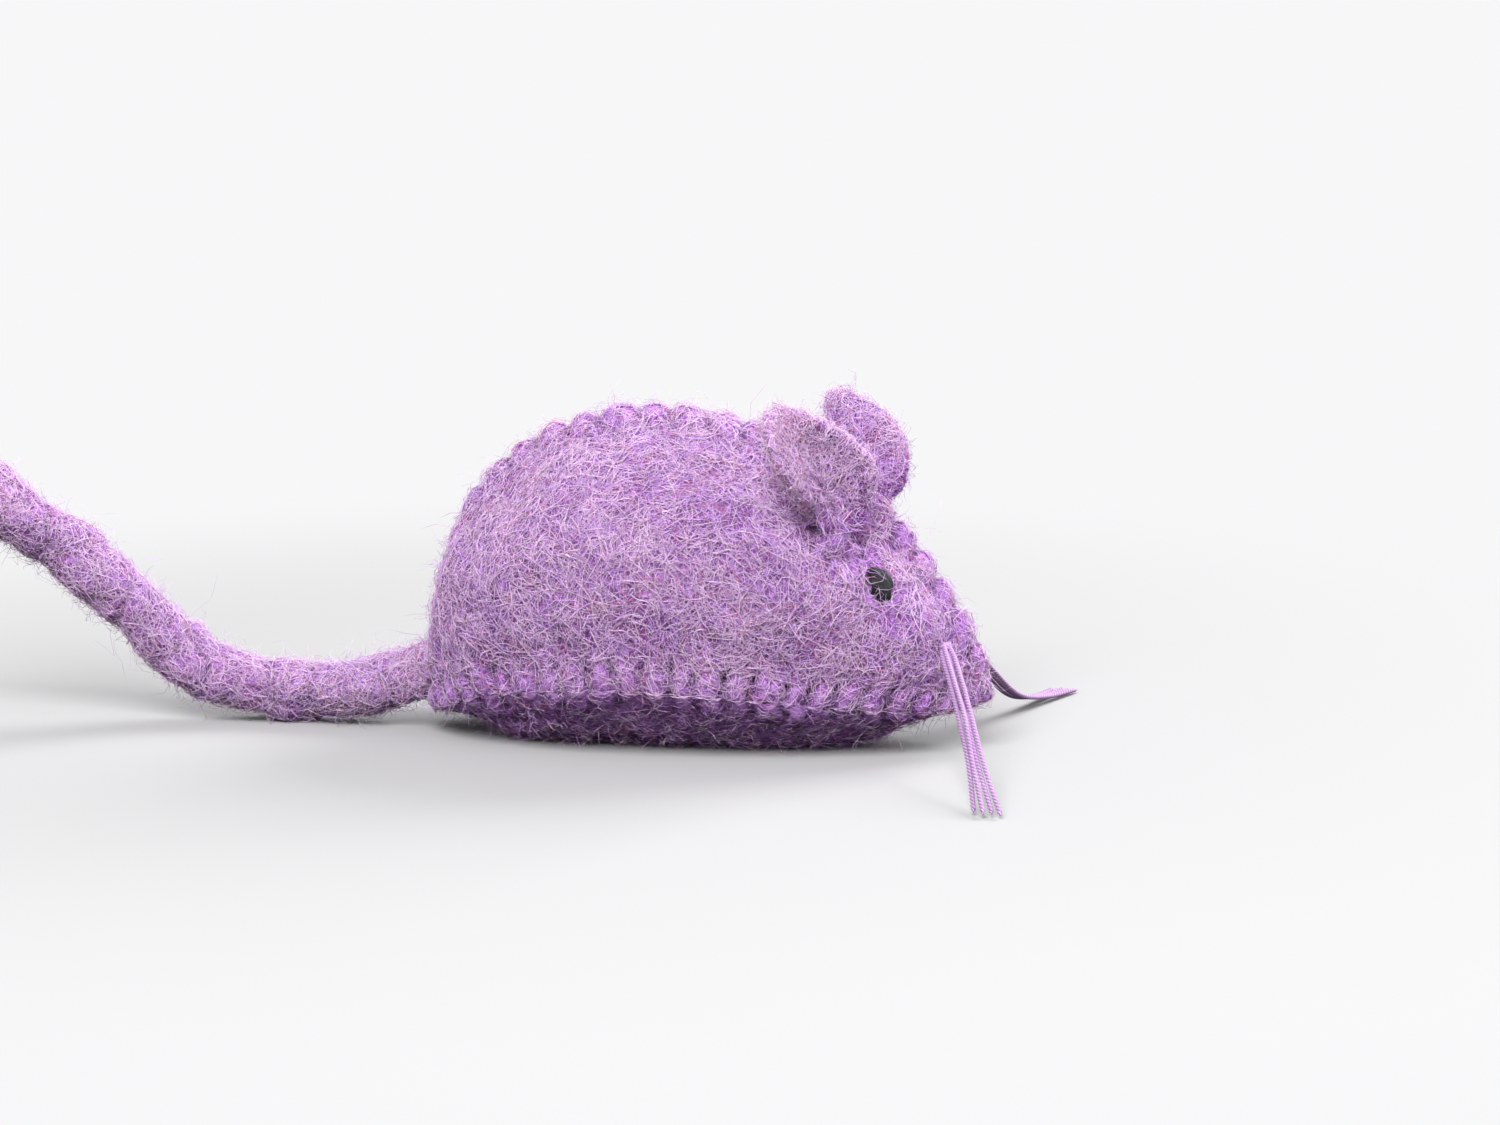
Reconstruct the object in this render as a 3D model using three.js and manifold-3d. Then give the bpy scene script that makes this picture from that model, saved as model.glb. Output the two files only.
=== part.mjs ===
// A sewn felt catnip mouse: three felt panels round a fibre stuffing and a catnip pouch, whip-stitched
// seams, two ears, embroidered eyes, thread whiskers and a felted tail that bends at four places.
// Millimetres. +X is the nose, +Y the mouse's left, +Z up; the origin is under the belly it rests on.
import * as THREE from "three";
import { mergeVertices } from "three/addons/utils/BufferGeometryUtils.js";
import Module from "manifold-3d";

const wasm = await Module();
wasm.setup();

// Driving dimensions
const BODY_LENGTH = 80.6; // tail seam to nose tip
const BODY_HEIGHT = 47.5; // floor to the back seam at its highest
const BELLY_WIDTH = 38; // across the belly seams at their widest
const SEAM_HEIGHT = 10; // floor to the belly seam, amidships
const TAIL_CORNER_HEIGHT = 3; // floor to the rear corner where all three panels meet
const NOSE_HEIGHT = 7.5; // floor to the front corner where all three panels meet
const SIDE_BULGE = 10; // how far a side panel swells out from the straight line between its seams
const FELT = 2.4; // felt thickness
const FLANGE = 1.8; // how far a sewn edge stands out from the panels it joins
const FLANGE_REACH = 4; // how far from the edge that flare dies out
const REST_CUT = 1; // how much of the belly is flattened where it rests
const GAP = 0.3; // clearance between neighbouring pieces
const THREAD = 0.6; // sewing thread, across the flats
const STITCHES = 20; // stitches along each seam of a side panel
const STITCH_REACH = 2.8; // how far from the edge a stitch enters the felt
const STITCH_HOLE = 1.5; // size of a needle hole, which the pulled thread opens
const EAR_HEIGHT = 17;
const EAR_WIDTH = 15;
const EAR_BASE = 7.6; // length of the pinched, sewn base
const EAR_CUP = 3.6; // how far the ear's edges curl forward
const EYE_WIDTH = 4.4;
const EYE_HEIGHT = 5.2;
const EYE_THICKNESS = 1.8;
const KNOT_WIDTH = 3.2; // the knot is round seen from above, so that the whiskers can swing about it
const KNOT_HEIGHT = 2.8;
const WHISKER_LENGTH = 42;
const WHISKER = 0.75; // thread diameter of a whisker strand
const WHISKERS_PER_SIDE = 4;
const TAIL_ROOT = 7.2; // tail diameter where it leaves the seam
const TAIL_MIDDLE = 7.8; // and at its thickest
const TAIL_TIP = 3.4; // and at the rounded tip
const TAIL_HEIGHT = 8; // floor to the tail's centre where it leaves the seam
const TAIL_GAP = 0.4; // clearance between two lengths of the tail

// Outlines, as shares of the sizes above
const BACK_OUTLINE = [
  [0.006, 0.36],
  [0.065, 0.7],
  [0.2, 0.915],
  [0.39, 1],
  [0.6, 0.94],
  [0.795, 0.745],
  [0.925, 0.47],
  [0.99, 0.26],
]; // [along the length, up the height]
const BELLY_OUTLINE = [
  [0.02, 0.3, 0.38],
  [0.1, 0.66, 0.68],
  [0.23, 0.92, 0.92],
  [0.4, 1, 1],
  [0.6, 0.9, 0.9],
  [0.77, 0.66, 0.74],
  [0.91, 0.37, 0.65],
  [0.98, 0.17, 0.69],
]; // [along the length, across the half width, up the seam height]

// Where things sit on a side panel: u runs from the tail corner to the nose, v from belly to back seam
const EAR_AT = { u: 0.7, v: 0.765 };
const EYE_AT = { u: 0.77, v: 0.62 };
const KNOT_AT = { u: 0.885, v: 0.56 };

const UP = new THREE.Vector3(0, 0, 1);
const SIDES = { right: -1, left: 1 };

const lilac = felt(0xb184bd);
const threadLilac = new THREE.MeshStandardMaterial({ color: 0x9a6fae, roughness: 0.7, metalness: 0 });
const whiskerLilac = new THREE.MeshStandardMaterial({ color: 0xc9b6d6, roughness: 0.45, metalness: 0 });
const eyeBlack = new THREE.MeshStandardMaterial({ color: 0x17141a, roughness: 0.6, metalness: 0 });
const fibreWhite = felt(0xe6e1da);
const pouchCream = felt(0x8f9468);

function felt(color) {
  return new THREE.MeshStandardMaterial({ color, roughness: 0.95, metalness: 0 });
}

function mix(a, b, share) {
  return a.clone().lerp(b, share);
}

function along(point, direction, distance) {
  return point.clone().addScaledVector(direction, distance);
}

function smooth(from, to, x) {
  return THREE.MathUtils.smoothstep(x, from, to);
}

// Solids
function toSolid(geometry) {
  const bare = geometry.clone();
  bare.deleteAttribute("normal");
  bare.deleteAttribute("uv");
  const merged = mergeVertices(bare, 1e-4);
  const corners = merged.index.array;
  const kept = [];
  for (let i = 0; i < corners.length; i += 3) {
    const [a, b, c] = corners.slice(i, i + 3);
    if (a !== b && b !== c && c !== a) {
      kept.push(a, b, c);
    }
  }
  const mesh = new wasm.Mesh({
    numProp: 3,
    vertProperties: new Float32Array(merged.attributes.position.array),
    triVerts: new Uint32Array(kept),
  });
  return new wasm.Manifold(mesh);
}

function toGeometry(solid) {
  const mesh = solid.getMesh();
  const geometry = new THREE.BufferGeometry();
  geometry.setAttribute("position", new THREE.BufferAttribute(new Float32Array(mesh.vertProperties), 3));
  geometry.setIndex(new THREE.BufferAttribute(new Uint32Array(mesh.triVerts), 1));
  return geometry;
}

function largestBody(solid) {
  return solid.decompose().sort((a, b) => b.volume() - a.volume())[0];
}

function cut(geometry, tools) {
  const solid = tools.reduce((left, tool) => left.subtract(toSolid(tool)), toSolid(geometry));
  return toGeometry(largestBody(solid));
}

function facingOut(points, triangles) {
  const [a, b, c] = [new THREE.Vector3(), new THREE.Vector3(), new THREE.Vector3()];
  let volume = 0;
  for (let i = 0; i < triangles.length; i += 3) {
    a.copy(points[triangles[i]]);
    b.copy(points[triangles[i + 1]]);
    c.copy(points[triangles[i + 2]]);
    volume += a.dot(b.cross(c)) / 6;
  }
  const ordered = volume > 0 ? triangles : triangles.slice().reverse();
  const geometry = new THREE.BufferGeometry().setFromPoints(points);
  geometry.setIndex(ordered);
  return geometry;
}

// A closed slab from two matching grids of points, front[row][column] and back[row][column]; a cell that
// isHole names is left open right through
function slab(front, back, isHole = () => false) {
  const rows = front.length;
  const columns = front[0].length;
  const points = [...front.flat(), ...back.flat()];
  const frontAt = (r, c) => r * columns + c;
  const backAt = (r, c) => rows * columns + r * columns + c;
  const inside = (r, c) => r >= 0 && c >= 0 && r + 1 < rows && c + 1 < columns && !isHole(r, c);
  const triangles = [];
  const quad = (a, b, c, d) => triangles.push(a, b, c, a, c, d);
  const wall = (r0, c0, r1, c1) => quad(frontAt(r1, c1), frontAt(r0, c0), backAt(r0, c0), backAt(r1, c1));
  for (let r = 0; r + 1 < rows; r++) {
    for (let c = 0; c + 1 < columns; c++) {
      if (!inside(r, c)) {
        continue;
      }
      quad(frontAt(r, c), frontAt(r, c + 1), frontAt(r + 1, c + 1), frontAt(r + 1, c));
      quad(backAt(r, c), backAt(r + 1, c), backAt(r + 1, c + 1), backAt(r, c + 1));
      if (!inside(r - 1, c)) {
        wall(r, c, r, c + 1);
      }
      if (!inside(r, c + 1)) {
        wall(r, c + 1, r + 1, c + 1);
      }
      if (!inside(r + 1, c)) {
        wall(r + 1, c + 1, r + 1, c);
      }
      if (!inside(r, c - 1)) {
        wall(r + 1, c, r, c);
      }
    }
  }
  return facingOut(points, triangles);
}

// A closed body through rings of points, with a point at each end
function loft(rings, startPoint, endPoint) {
  const count = rings[0].length;
  const points = [...rings.flat(), startPoint, endPoint];
  const start = rings.length * count;
  const triangles = [];
  for (let i = 0; i < count; i++) {
    const next = (i + 1) % count;
    for (let r = 0; r + 1 < rings.length; r++) {
      const [a, b] = [r * count + i, r * count + next];
      triangles.push(a, b, b + count, a, b + count, a + count);
    }
    const last = (rings.length - 1) * count;
    triangles.push(start, next, i, start + 1, last + i, last + next);
  }
  return facingOut(points, triangles);
}

function tube(curve, steps, sides, radius) {
  const outline = new THREE.Shape();
  for (let i = 0; i < sides; i++) {
    const angle = (2 * Math.PI * i) / sides;
    outline[i ? "lineTo" : "moveTo"](radius * Math.cos(angle), radius * Math.sin(angle));
  }
  return new THREE.ExtrudeGeometry(outline, { steps, extrudePath: curve, bevelEnabled: false });
}

// Four-sided thread: its corner radius gives the stated width across the flats
const THREAD_RADIUS = THREAD / Math.SQRT2;
const THREAD_HOLE_RADIUS = (THREAD + 2 * GAP) / Math.SQRT2;

// Seams: the back seam runs from the tail corner over the back to the nose, the belly seam all the way round
const tailCorner = new THREE.Vector3(-BODY_LENGTH / 2, 0, TAIL_CORNER_HEIGHT);
const noseCorner = new THREE.Vector3(BODY_LENGTH / 2, 0, NOSE_HEIGHT);
const backPoints = BACK_OUTLINE.map(
  ([length, height]) => new THREE.Vector3((length - 0.5) * BODY_LENGTH, 0, height * BODY_HEIGHT),
);
const bellyPoints = (side) =>
  BELLY_OUTLINE.map(
    ([length, width, height]) =>
      new THREE.Vector3((length - 0.5) * BODY_LENGTH, (side * width * BELLY_WIDTH) / 2, height * SEAM_HEIGHT),
  );
const backSeam = new THREE.CatmullRomCurve3([tailCorner, ...backPoints, noseCorner], false, "centripetal");
const bellySeam = new THREE.CatmullRomCurve3(
  [tailCorner, ...bellyPoints(SIDES.left), noseCorner, ...bellyPoints(SIDES.right).reverse()],
  true,
  "centripetal",
);

// One edge of a panel: its point, the seam's direction and the direction that faces out of the toy
function backEdge(u) {
  const tangent = backSeam.getTangentAt(u);
  return { point: backSeam.getPointAt(u), tangent, out: new THREE.Vector3(-tangent.z, 0, tangent.x) };
}

function bellyEdge(u, side) {
  const round = side > 0 ? u / 2 : 1 - u / 2;
  const tangent = bellySeam.getTangentAt(round).multiplyScalar(side);
  const out = tangent.clone().cross(UP).multiplyScalar(-side).normalize();
  return { point: bellySeam.getPointAt(round), tangent, out };
}

// A panel point between two edges: the straight line between them, swollen, with flared sewn edges
function betweenEdges(from, to, share, swell) {
  const start = along(from.point, from.out, -FLANGE);
  const end = along(to.point, to.out, -FLANGE);
  const width = start.distanceTo(end);
  const nearest = Math.min(share, 1 - share) * width;
  const flare = FLANGE * Math.max(0, 1 - nearest / FLANGE_REACH) ** 2;
  const out = mix(from.out, to.out, share).normalize();
  return mix(start, end, share).add(swell).addScaledVector(out, flare);
}

function chordOf(u, side) {
  const from = bellyEdge(u, side);
  const to = backEdge(u);
  return to.point.clone().addScaledVector(to.out, -FLANGE).sub(from.point).addScaledVector(from.out, FLANGE);
}

const WIDEST_CHORD = chordOf(0.42, SIDES.left).length();

function sidePoint(u, v, side) {
  const from = bellyEdge(u, side);
  const to = backEdge(u);
  const chord = chordOf(u, side);
  const swellDirection = chord.clone().cross(mix(from.tangent, to.tangent, 0.5)).multiplyScalar(side).normalize();
  const swell = (SIDE_BULGE * chord.length() * Math.sin(Math.PI * v) ** 0.85) / WIDEST_CHORD;
  return betweenEdges(from, to, v, swellDirection.multiplyScalar(swell));
}

function bellyPoint(u, w) {
  const from = bellyEdge(u, SIDES.right);
  const to = bellyEdge(u, SIDES.left);
  const fullness = smooth(0, 0.24, u) * (1 - smooth(0.66, 1, u));
  const depth = (from.point.z + REST_CUT) * fullness * (1 - (2 * w - 1) ** 2) ** 0.8;
  return betweenEdges(from, to, w, UP.clone().multiplyScalar(-depth));
}

// Outward normal of a surface of two shares, from its neighbours; sign +1 or -1 turns it outward
function normalOf(surface, p, q, sign) {
  const step = 0.004;
  const [p0, p1] = [Math.max(p - step, 0), Math.min(p + step, 1)];
  const [q0, q1] = [Math.max(q - step, 0), Math.min(q + step, 1)];
  const alongP = surface(p1, q).sub(surface(p0, q));
  const alongQ = surface(p, q1).sub(surface(p, q0));
  return alongP.cross(alongQ).multiplyScalar(sign).normalize();
}

const sideSurface = (side) => (u, v) => sidePoint(u, v, side);
const sideNormal = (u, v, side) => normalOf(sideSurface(side), u, v, -side);
const bellyNormal = (u, w) => normalOf(bellyPoint, u, w, -1);

// Stitches are evenly spaced along both seams; a panel has two columns of points at each stitch, one at
// either side of its needle holes, and a few more round its blunt ends
const STITCH_RUN = { from: 0.145, to: 0.893 };
const stitchShares = Array.from({ length: STITCHES }, (_, i) =>
  THREE.MathUtils.lerp(STITCH_RUN.from, STITCH_RUN.to, i / (STITCHES - 1)),
);
const HALF_HOLE = STITCH_HOLE / bellySeam.getLength();
const TAIL_COLUMNS = [0.012, 0.045, 0.09];
const NOSE_COLUMNS = [0.93, 0.96, 0.985];
const columnShares = [
  ...TAIL_COLUMNS,
  ...stitchShares.flatMap((u) => [u - HALF_HOLE, u + HALF_HOLE]),
  ...NOSE_COLUMNS,
];
const HOLE_ROW = 1;
const HOLE_SIDES = [STITCH_REACH - STITCH_HOLE / 2, STITCH_REACH + STITCH_HOLE / 2];

// Rows across a panel: its edge, the two sides of the needle holes, evenly spaced rows, and the same again
function rowShares(width, insideRows) {
  const crowding = Math.min(1, width / (2.9 * HOLE_SIDES[1]));
  const near = [0, ...HOLE_SIDES.map((distance) => (distance * crowding) / width)];
  const inside = Array.from({ length: insideRows }, (_, i) =>
    THREE.MathUtils.lerp(near[2], 1 - near[2], (i + 1) / (insideRows + 1)),
  );
  return [...near, ...inside, ...near.map((share) => 1 - share).reverse()];
}

const feltAt = (u) => Math.min(FELT, 0.22 * chordOf(u, SIDES.left).length());
const sideWidth = (u) => chordOf(u, SIDES.left).length();
const bellyWidth = (u) => Math.abs(2 * along(bellyEdge(u, SIDES.left).point, bellyEdge(u, SIDES.left).out, -FLANGE).y);
const SIDE_INSIDE_ROWS = 5;
const BELLY_INSIDE_ROWS = 6;

// The three panels. Each edge gives its seam point, which way is out, and the direction from the seam into the
// panel.
const across = (side) => new THREE.Vector3(0, side, 0);

function bellySeamOf(side, ontoSide) {
  return (u) => {
    const { point, tangent, out } = bellyEdge(u, side);
    return { seam: point, out, into: tangent.clone().cross(out).multiplyScalar(side * ontoSide).normalize() };
  };
}

const sidePanels = Object.fromEntries(
  Object.values(SIDES).map((side) => [
    side,
    {
      surface: sideSurface(side),
      normal: (u, v) => sideNormal(u, v, side),
      width: sideWidth,
      insideRows: SIDE_INSIDE_ROWS,
      edges: [bellySeamOf(side, 1), (u) => ({ seam: backEdge(u).point, out: backEdge(u).out, into: across(side) })],
    },
  ]),
);
const bellyPanel = {
  surface: bellyPoint,
  normal: bellyNormal,
  width: bellyWidth,
  insideRows: BELLY_INSIDE_ROWS,
  edges: [bellySeamOf(SIDES.right, -1), bellySeamOf(SIDES.left, -1)],
};

// What would hang below the floor rests on it
function onFloor(point) {
  return point.setZ(Math.max(point.z, 0));
}

// A felt panel: its outer face, and an inner face one felt thickness in, each half on its own side of the seam
// nearest to it, with a needle hole at each stitch along both edges
function panel({ surface, normal, width, insideRows, edges }) {
  const ownSide = (point, u, v) => {
    const { seam, into } = edges[v < 0.5 ? 0 : 1](u);
    const reach = point.clone().sub(seam).dot(into);
    return point.addScaledVector(into, Math.max(0, GAP / 2 - reach));
  };
  const grid = (place) => columnShares.map((u) => rowShares(width(u), insideRows).map((v) => place(u, v)));
  const outer = grid((u, v) => onFloor(ownSide(surface(u, v), u, v)));
  const inner = grid((u, v) => ownSide(along(onFloor(surface(u, v)), normal(u, v), -feltAt(u)), u, v));
  const lastRow = outer[0].length - 1;
  columnShares.forEach((u, i) => {
    [0, lastRow].forEach((row) => {
      const { out } = edges[row ? 1 : 0](u);
      inner[i][row] = along(outer[i][row], out, -FLANGE - feltAt(u));
    });
  });
  const isHole = (column, row) => {
    const stitch = (column - TAIL_COLUMNS.length) / 2;
    const isHoleRow = row === HOLE_ROW || row === lastRow - 1 - HOLE_ROW;
    return Number.isInteger(stitch) && isHoleRow && stitch >= 0 && stitch < STITCHES;
  };
  return slab(outer, inner, isHole);
}

// The middle of a needle hole, just outside the felt and just inside it
const OVER_FELT = THREAD / 2 + 4 * GAP;
const UNDER_FELT = THREAD / 2 + 1.5 * GAP;

function needleHole({ surface, normal, width }, u, isFarEdge) {
  const near = STITCH_REACH / width(u);
  const v = isFarEdge ? 1 - near : near;
  const middle = surface(u, v);
  const outside = along(middle, normal(u, v), OVER_FELT);
  return { outside, inside: along(middle, normal(u, v), -feltAt(u) - UNDER_FELT) };
}

// Whip stitches: one thread that goes over a seam's edge, in through one panel and out through the other
class WhipStitch extends THREE.Curve {
  constructor(corners) {
    super();
    this.corners = corners;
  }

  getPoint(share, target = new THREE.Vector3()) {
    const place = THREE.MathUtils.clamp(share, 0, 1) * (this.corners.length - 1);
    const index = Math.min(Math.floor(place), this.corners.length - 2);
    return target.lerpVectors(this.corners[index], this.corners[index + 1], place - index);
  }

  // Steps go from corner to corner, not by equal lengths of thread
  getUtoTmapping(share) {
    return share;
  }
}

// One stitch: in at the first panel's hole, under the seam, out at the second's, and over the edge onward
const overEdge = ({ point, out }) => along(point, out, OVER_FELT);

function stitch(first, second, edge, nextEdge) {
  const under = along(edge.point, edge.out, -FLANGE - FELT - UNDER_FELT - 2 * GAP);
  return [first.outside, first.inside, under, second.inside, second.outside, overEdge(nextEdge)];
}

function seamThread(name, corners) {
  const path = new WhipStitch(corners);
  const STEPS_PER_STITCH = 6;
  let least = Infinity;
  corners.forEach((a, i) => {
    corners.slice(i + STEPS_PER_STITCH - 1).forEach((b) => {
      least = Math.min(least, a.distanceTo(b) - THREAD);
    });
  });
  console.log(`${name}: least gap to itself ${least.toFixed(2)} mm`);
  return tube(path, corners.length - 1, 4, THREAD_RADIUS);
}

const HALF_STITCH = (stitchShares[1] - stitchShares[0]) / 2;
const backCorners = stitchShares.flatMap((u) =>
  stitch(
    needleHole(sidePanels[SIDES.right], u, true),
    needleHole(sidePanels[SIDES.left], u, true),
    backEdge(u),
    backEdge(u + HALF_STITCH),
  ),
);
const bellyCorners = (side, shares, onward) =>
  shares.flatMap((u) =>
    stitch(
      needleHole(bellyPanel, u, side === SIDES.left),
      needleHole(sidePanels[side], u, false),
      bellyEdge(u, side),
      bellyEdge(u + onward * HALF_STITCH, side),
    ),
  );
const backThread = seamThread("back seam thread", backCorners);
const UNDER_TAIL = [0.075, 0.035]; // where the thread follows the edge round the tail corner
const bellyThread = seamThread("belly seam thread", [
  ...bellyCorners(SIDES.right, stitchShares.toReversed(), -1),
  ...UNDER_TAIL.map((u) => overEdge(bellyEdge(u, SIDES.right))),
  overEdge(bellyEdge(0, SIDES.left)),
  ...UNDER_TAIL.toReversed().map((u) => overEdge(bellyEdge(u, SIDES.left))),
  ...bellyCorners(SIDES.left, stitchShares, 1),
]);

// Pads sewn into the felt: the eyes and the whisker knots, half sunk in a dent of their own
function onPanel({ u, v }, side) {
  const point = sidePoint(u, v, side);
  const normal = sideNormal(u, v, side);
  const forward = sidePoint(u + 0.01, v, side).sub(sidePoint(u - 0.01, v, side)).normalize();
  const upward = normal.clone().cross(forward).multiplyScalar(side).normalize();
  const across = upward.clone().cross(normal).normalize();
  return { point, normal, upward, basis: new THREE.Matrix4().makeBasis(across, upward, normal) };
}

function pad(width, height, thickness, seat, clearance) {
  const geometry = new THREE.SphereGeometry(1, 10, 6).rotateX(Math.PI / 2);
  geometry.scale(width / 2 + clearance, height / 2 + clearance, thickness / 2 + clearance);
  return geometry.applyMatrix4(seat.basis).translate(seat.point.x, seat.point.y, seat.point.z);
}

const eyePad = (side, clearance) => pad(EYE_WIDTH, EYE_HEIGHT, EYE_THICKNESS, onPanel(EYE_AT, side), clearance);
const knotPad = (side, clearance) => pad(KNOT_WIDTH, KNOT_HEIGHT, KNOT_WIDTH, onPanel(KNOT_AT, side), clearance);

// Whiskers: a thread through the snout joins the two knots; the strands fan out from each knot
const knotInset = KNOT_WIDTH / 2 + GAP;
const knotCentre = (side) => onPanel(KNOT_AT, side).point;
const coreEnd = (side) => along(knotCentre(side), across(side), -knotInset);
const whiskerCore = tube(new THREE.LineCurve3(coreEnd(SIDES.right), coreEnd(SIDES.left)), 1, 4, THREAD_RADIUS);
const coreHoleLine = new THREE.LineCurve3(knotCentre(SIDES.right), knotCentre(SIDES.left));
const whiskerCoreHole = tube(coreHoleLine, 1, 4, THREAD_HOLE_RADIUS);

const WHISKER_SPREAD = { root: 0.5, tip: 0.03 }; // radians between neighbouring strands, root and tip
const WHISKER_HEADING = { root: 1.12, tip: 1.27 }; // radians outward from straight ahead
const WHISKER_DROP = { [SIDES.right]: 0.42, [SIDES.left]: 0.8 }; // share of its drop that a strand has fallen half-way

function whisker(side, index) {
  const seat = onPanel(KNOT_AT, side);
  const place = index - (WHISKERS_PER_SIDE - 1) / 2;
  const turn = (end) => WHISKER_HEADING[end] - place * WHISKER_SPREAD[end];
  const heading = (angle) => new THREE.Vector3(Math.cos(angle), side * Math.sin(angle), 0);
  const start = along(seat.point, heading(turn("root")), KNOT_WIDTH / 2 + GAP);
  const floor = WHISKER / 2 + 0.15;
  const drop = start.z - floor;
  const reach = Math.sqrt(WHISKER_LENGTH ** 2 - drop ** 2) * 0.985;
  const middle = along(start, heading(turn("tip")), reach * 0.5);
  middle.z -= drop * WHISKER_DROP[side];
  const end = along(start, heading(turn("tip")), reach);
  end.z = floor + Math.abs(place) * 0.3;
  return tube(new THREE.CatmullRomCurve3([start, middle, end]), 10, 8, WHISKER / 2);
}

// Ears: felt petals, pinched at a rounded base that turns on the thread sewn along it; slopes per unit of rise
const EAR_LEAN_BACK = { [SIDES.right]: 0.37, [SIDES.left]: 0.15 };
const EAR_LEAN_OUT = 0.25;
const EAR_TRIM = { [SIDES.right]: 0, [SIDES.left]: 2.2 }; // how much lower than the taller ear each is cut
const EAR_TURN = { [SIDES.right]: 0.84, [SIDES.left]: 0.5 }; // radians from straight back to outward

function earSeat(side) {
  const seat = onPanel(EAR_AT, side);
  const lean = new THREE.Vector3(-EAR_LEAN_BACK[side], side * EAR_LEAN_OUT, 1).normalize();
  const base = new THREE.Vector3(-Math.cos(EAR_TURN[side]), side * Math.sin(EAR_TURN[side]), 0);
  base.addScaledVector(seat.normal, -base.dot(seat.normal)).normalize();
  const face = base.clone().cross(lean).multiplyScalar(side).normalize();
  return { origin: along(seat.point, seat.normal, FELT / 2 + GAP), base, lean, face, normal: seat.normal };
}

function earHalfWidth(share) {
  const rise = EAR_BASE / 2 + (EAR_WIDTH / 2 - EAR_BASE / 2) * Math.sin((Math.PI / 2) * Math.min(share / 0.5, 1));
  const top = Math.sqrt(Math.max(0.02, 1 - Math.max(0, (share - 0.5) / 0.5) ** 2.4));
  return rise * top;
}

function ear(side) {
  const { origin, base, lean, face } = earSeat(side);
  const heights = [0, 0.1, 0.22, 0.36, 0.5, 0.64, 0.77, 0.88, 0.96, 1];
  const across = [-1, -0.66, -0.33, 0, 0.33, 0.66, 1];
  const middle = (h, c) => {
    const sideways = c * earHalfWidth(h);
    const curl = EAR_CUP * (sideways / (EAR_WIDTH / 2)) ** 2 * smooth(0, 0.25, h);
    return along(along(along(origin, base, sideways), lean, h * (EAR_HEIGHT - EAR_TRIM[side])), face, curl);
  };
  const half = (h) => (FELT / 2) * (1 - 0.35 * smooth(0.8, 1, h));
  const bottom = across.map((c) => along(middle(0, c), lean, -FELT / 2));
  const front = heights.map((h) => across.map((c) => along(middle(h, c), face, half(h))));
  const back = heights.map((h) => across.map((c) => along(middle(h, c), face, -half(h))));
  return slab([bottom, ...front], [bottom, ...back]);
}

function earThreadPath(side) {
  const { origin, base, normal } = earSeat(side);
  const bend = EAR_BASE / 2 + GAP + THREAD;
  const anchor = (end) => along(along(origin, base, end * (bend + 0.5)), normal, -FELT - GAP);
  const corner = (end) => along(origin, base, end * bend);
  return new THREE.CatmullRomCurve3([anchor(-1), corner(-1), corner(1), anchor(1)], false, "catmullrom", 0.1);
}

const earThread = (side, radius) => tube(earThreadPath(side), 16, 4, radius);

function earBore(side) {
  const { origin, base } = earSeat(side);
  const line = new THREE.LineCurve3(along(origin, base, -EAR_BASE), along(origin, base, EAR_BASE));
  return tube(line, 1, 4, THREAD_HOLE_RADIUS);
}

// Tail: a felted roll that leaves the rear seam, dips to the floor and sweeps up behind
const tailRootAt = { u: 0 };
while (backSeam.getPointAt(tailRootAt.u).z < TAIL_HEIGHT) {
  tailRootAt.u += 0.001;
}
const tailStart = along(backSeam.getPointAt(tailRootAt.u), new THREE.Vector3(-1, 0, 0), GAP);
const TAIL_FLOOR = TAIL_MIDDLE / 2 + 0.1;
const tailPath = new THREE.CatmullRomCurve3([
  tailStart,
  along(tailStart, new THREE.Vector3(-10, 0, -2.8), 1),
  new THREE.Vector3(tailStart.x - 20.5, 0, TAIL_FLOOR),
  new THREE.Vector3(tailStart.x - 33, -1.5, TAIL_FLOOR + 3.2),
  new THREE.Vector3(tailStart.x - 46, -4, TAIL_FLOOR + 14),
  new THREE.Vector3(tailStart.x - 60, -8, TAIL_FLOOR + 26.5),
  new THREE.Vector3(tailStart.x - 72, -11.5, TAIL_FLOOR + 39),
  new THREE.Vector3(tailStart.x - 80, -13.5, TAIL_FLOOR + 53),
]);
const TAIL_JOINTS = [0, 0.28, 0.52, 0.76]; // shares of the tail's length where it bends

function tailRadius(share) {
  const body = THREE.MathUtils.lerp(TAIL_ROOT, TAIL_MIDDLE, smooth(0, 0.45, share));
  return THREE.MathUtils.lerp(body, TAIL_TIP, smooth(0.58, 1, share) ** 1.3) / 2;
}

function tailRing(share, shift, radius) {
  const tangent = tailPath.getTangentAt(share);
  const sideways = tangent.clone().cross(UP).normalize();
  const upward = sideways.clone().cross(tangent).normalize();
  const centre = along(tailPath.getPointAt(share), tangent, shift);
  return Array.from({ length: 12 }, (_, i) => {
    const angle = (2 * Math.PI * i) / 12;
    return along(along(centre, sideways, radius * Math.cos(angle)), upward, radius * Math.sin(angle));
  });
}

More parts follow.
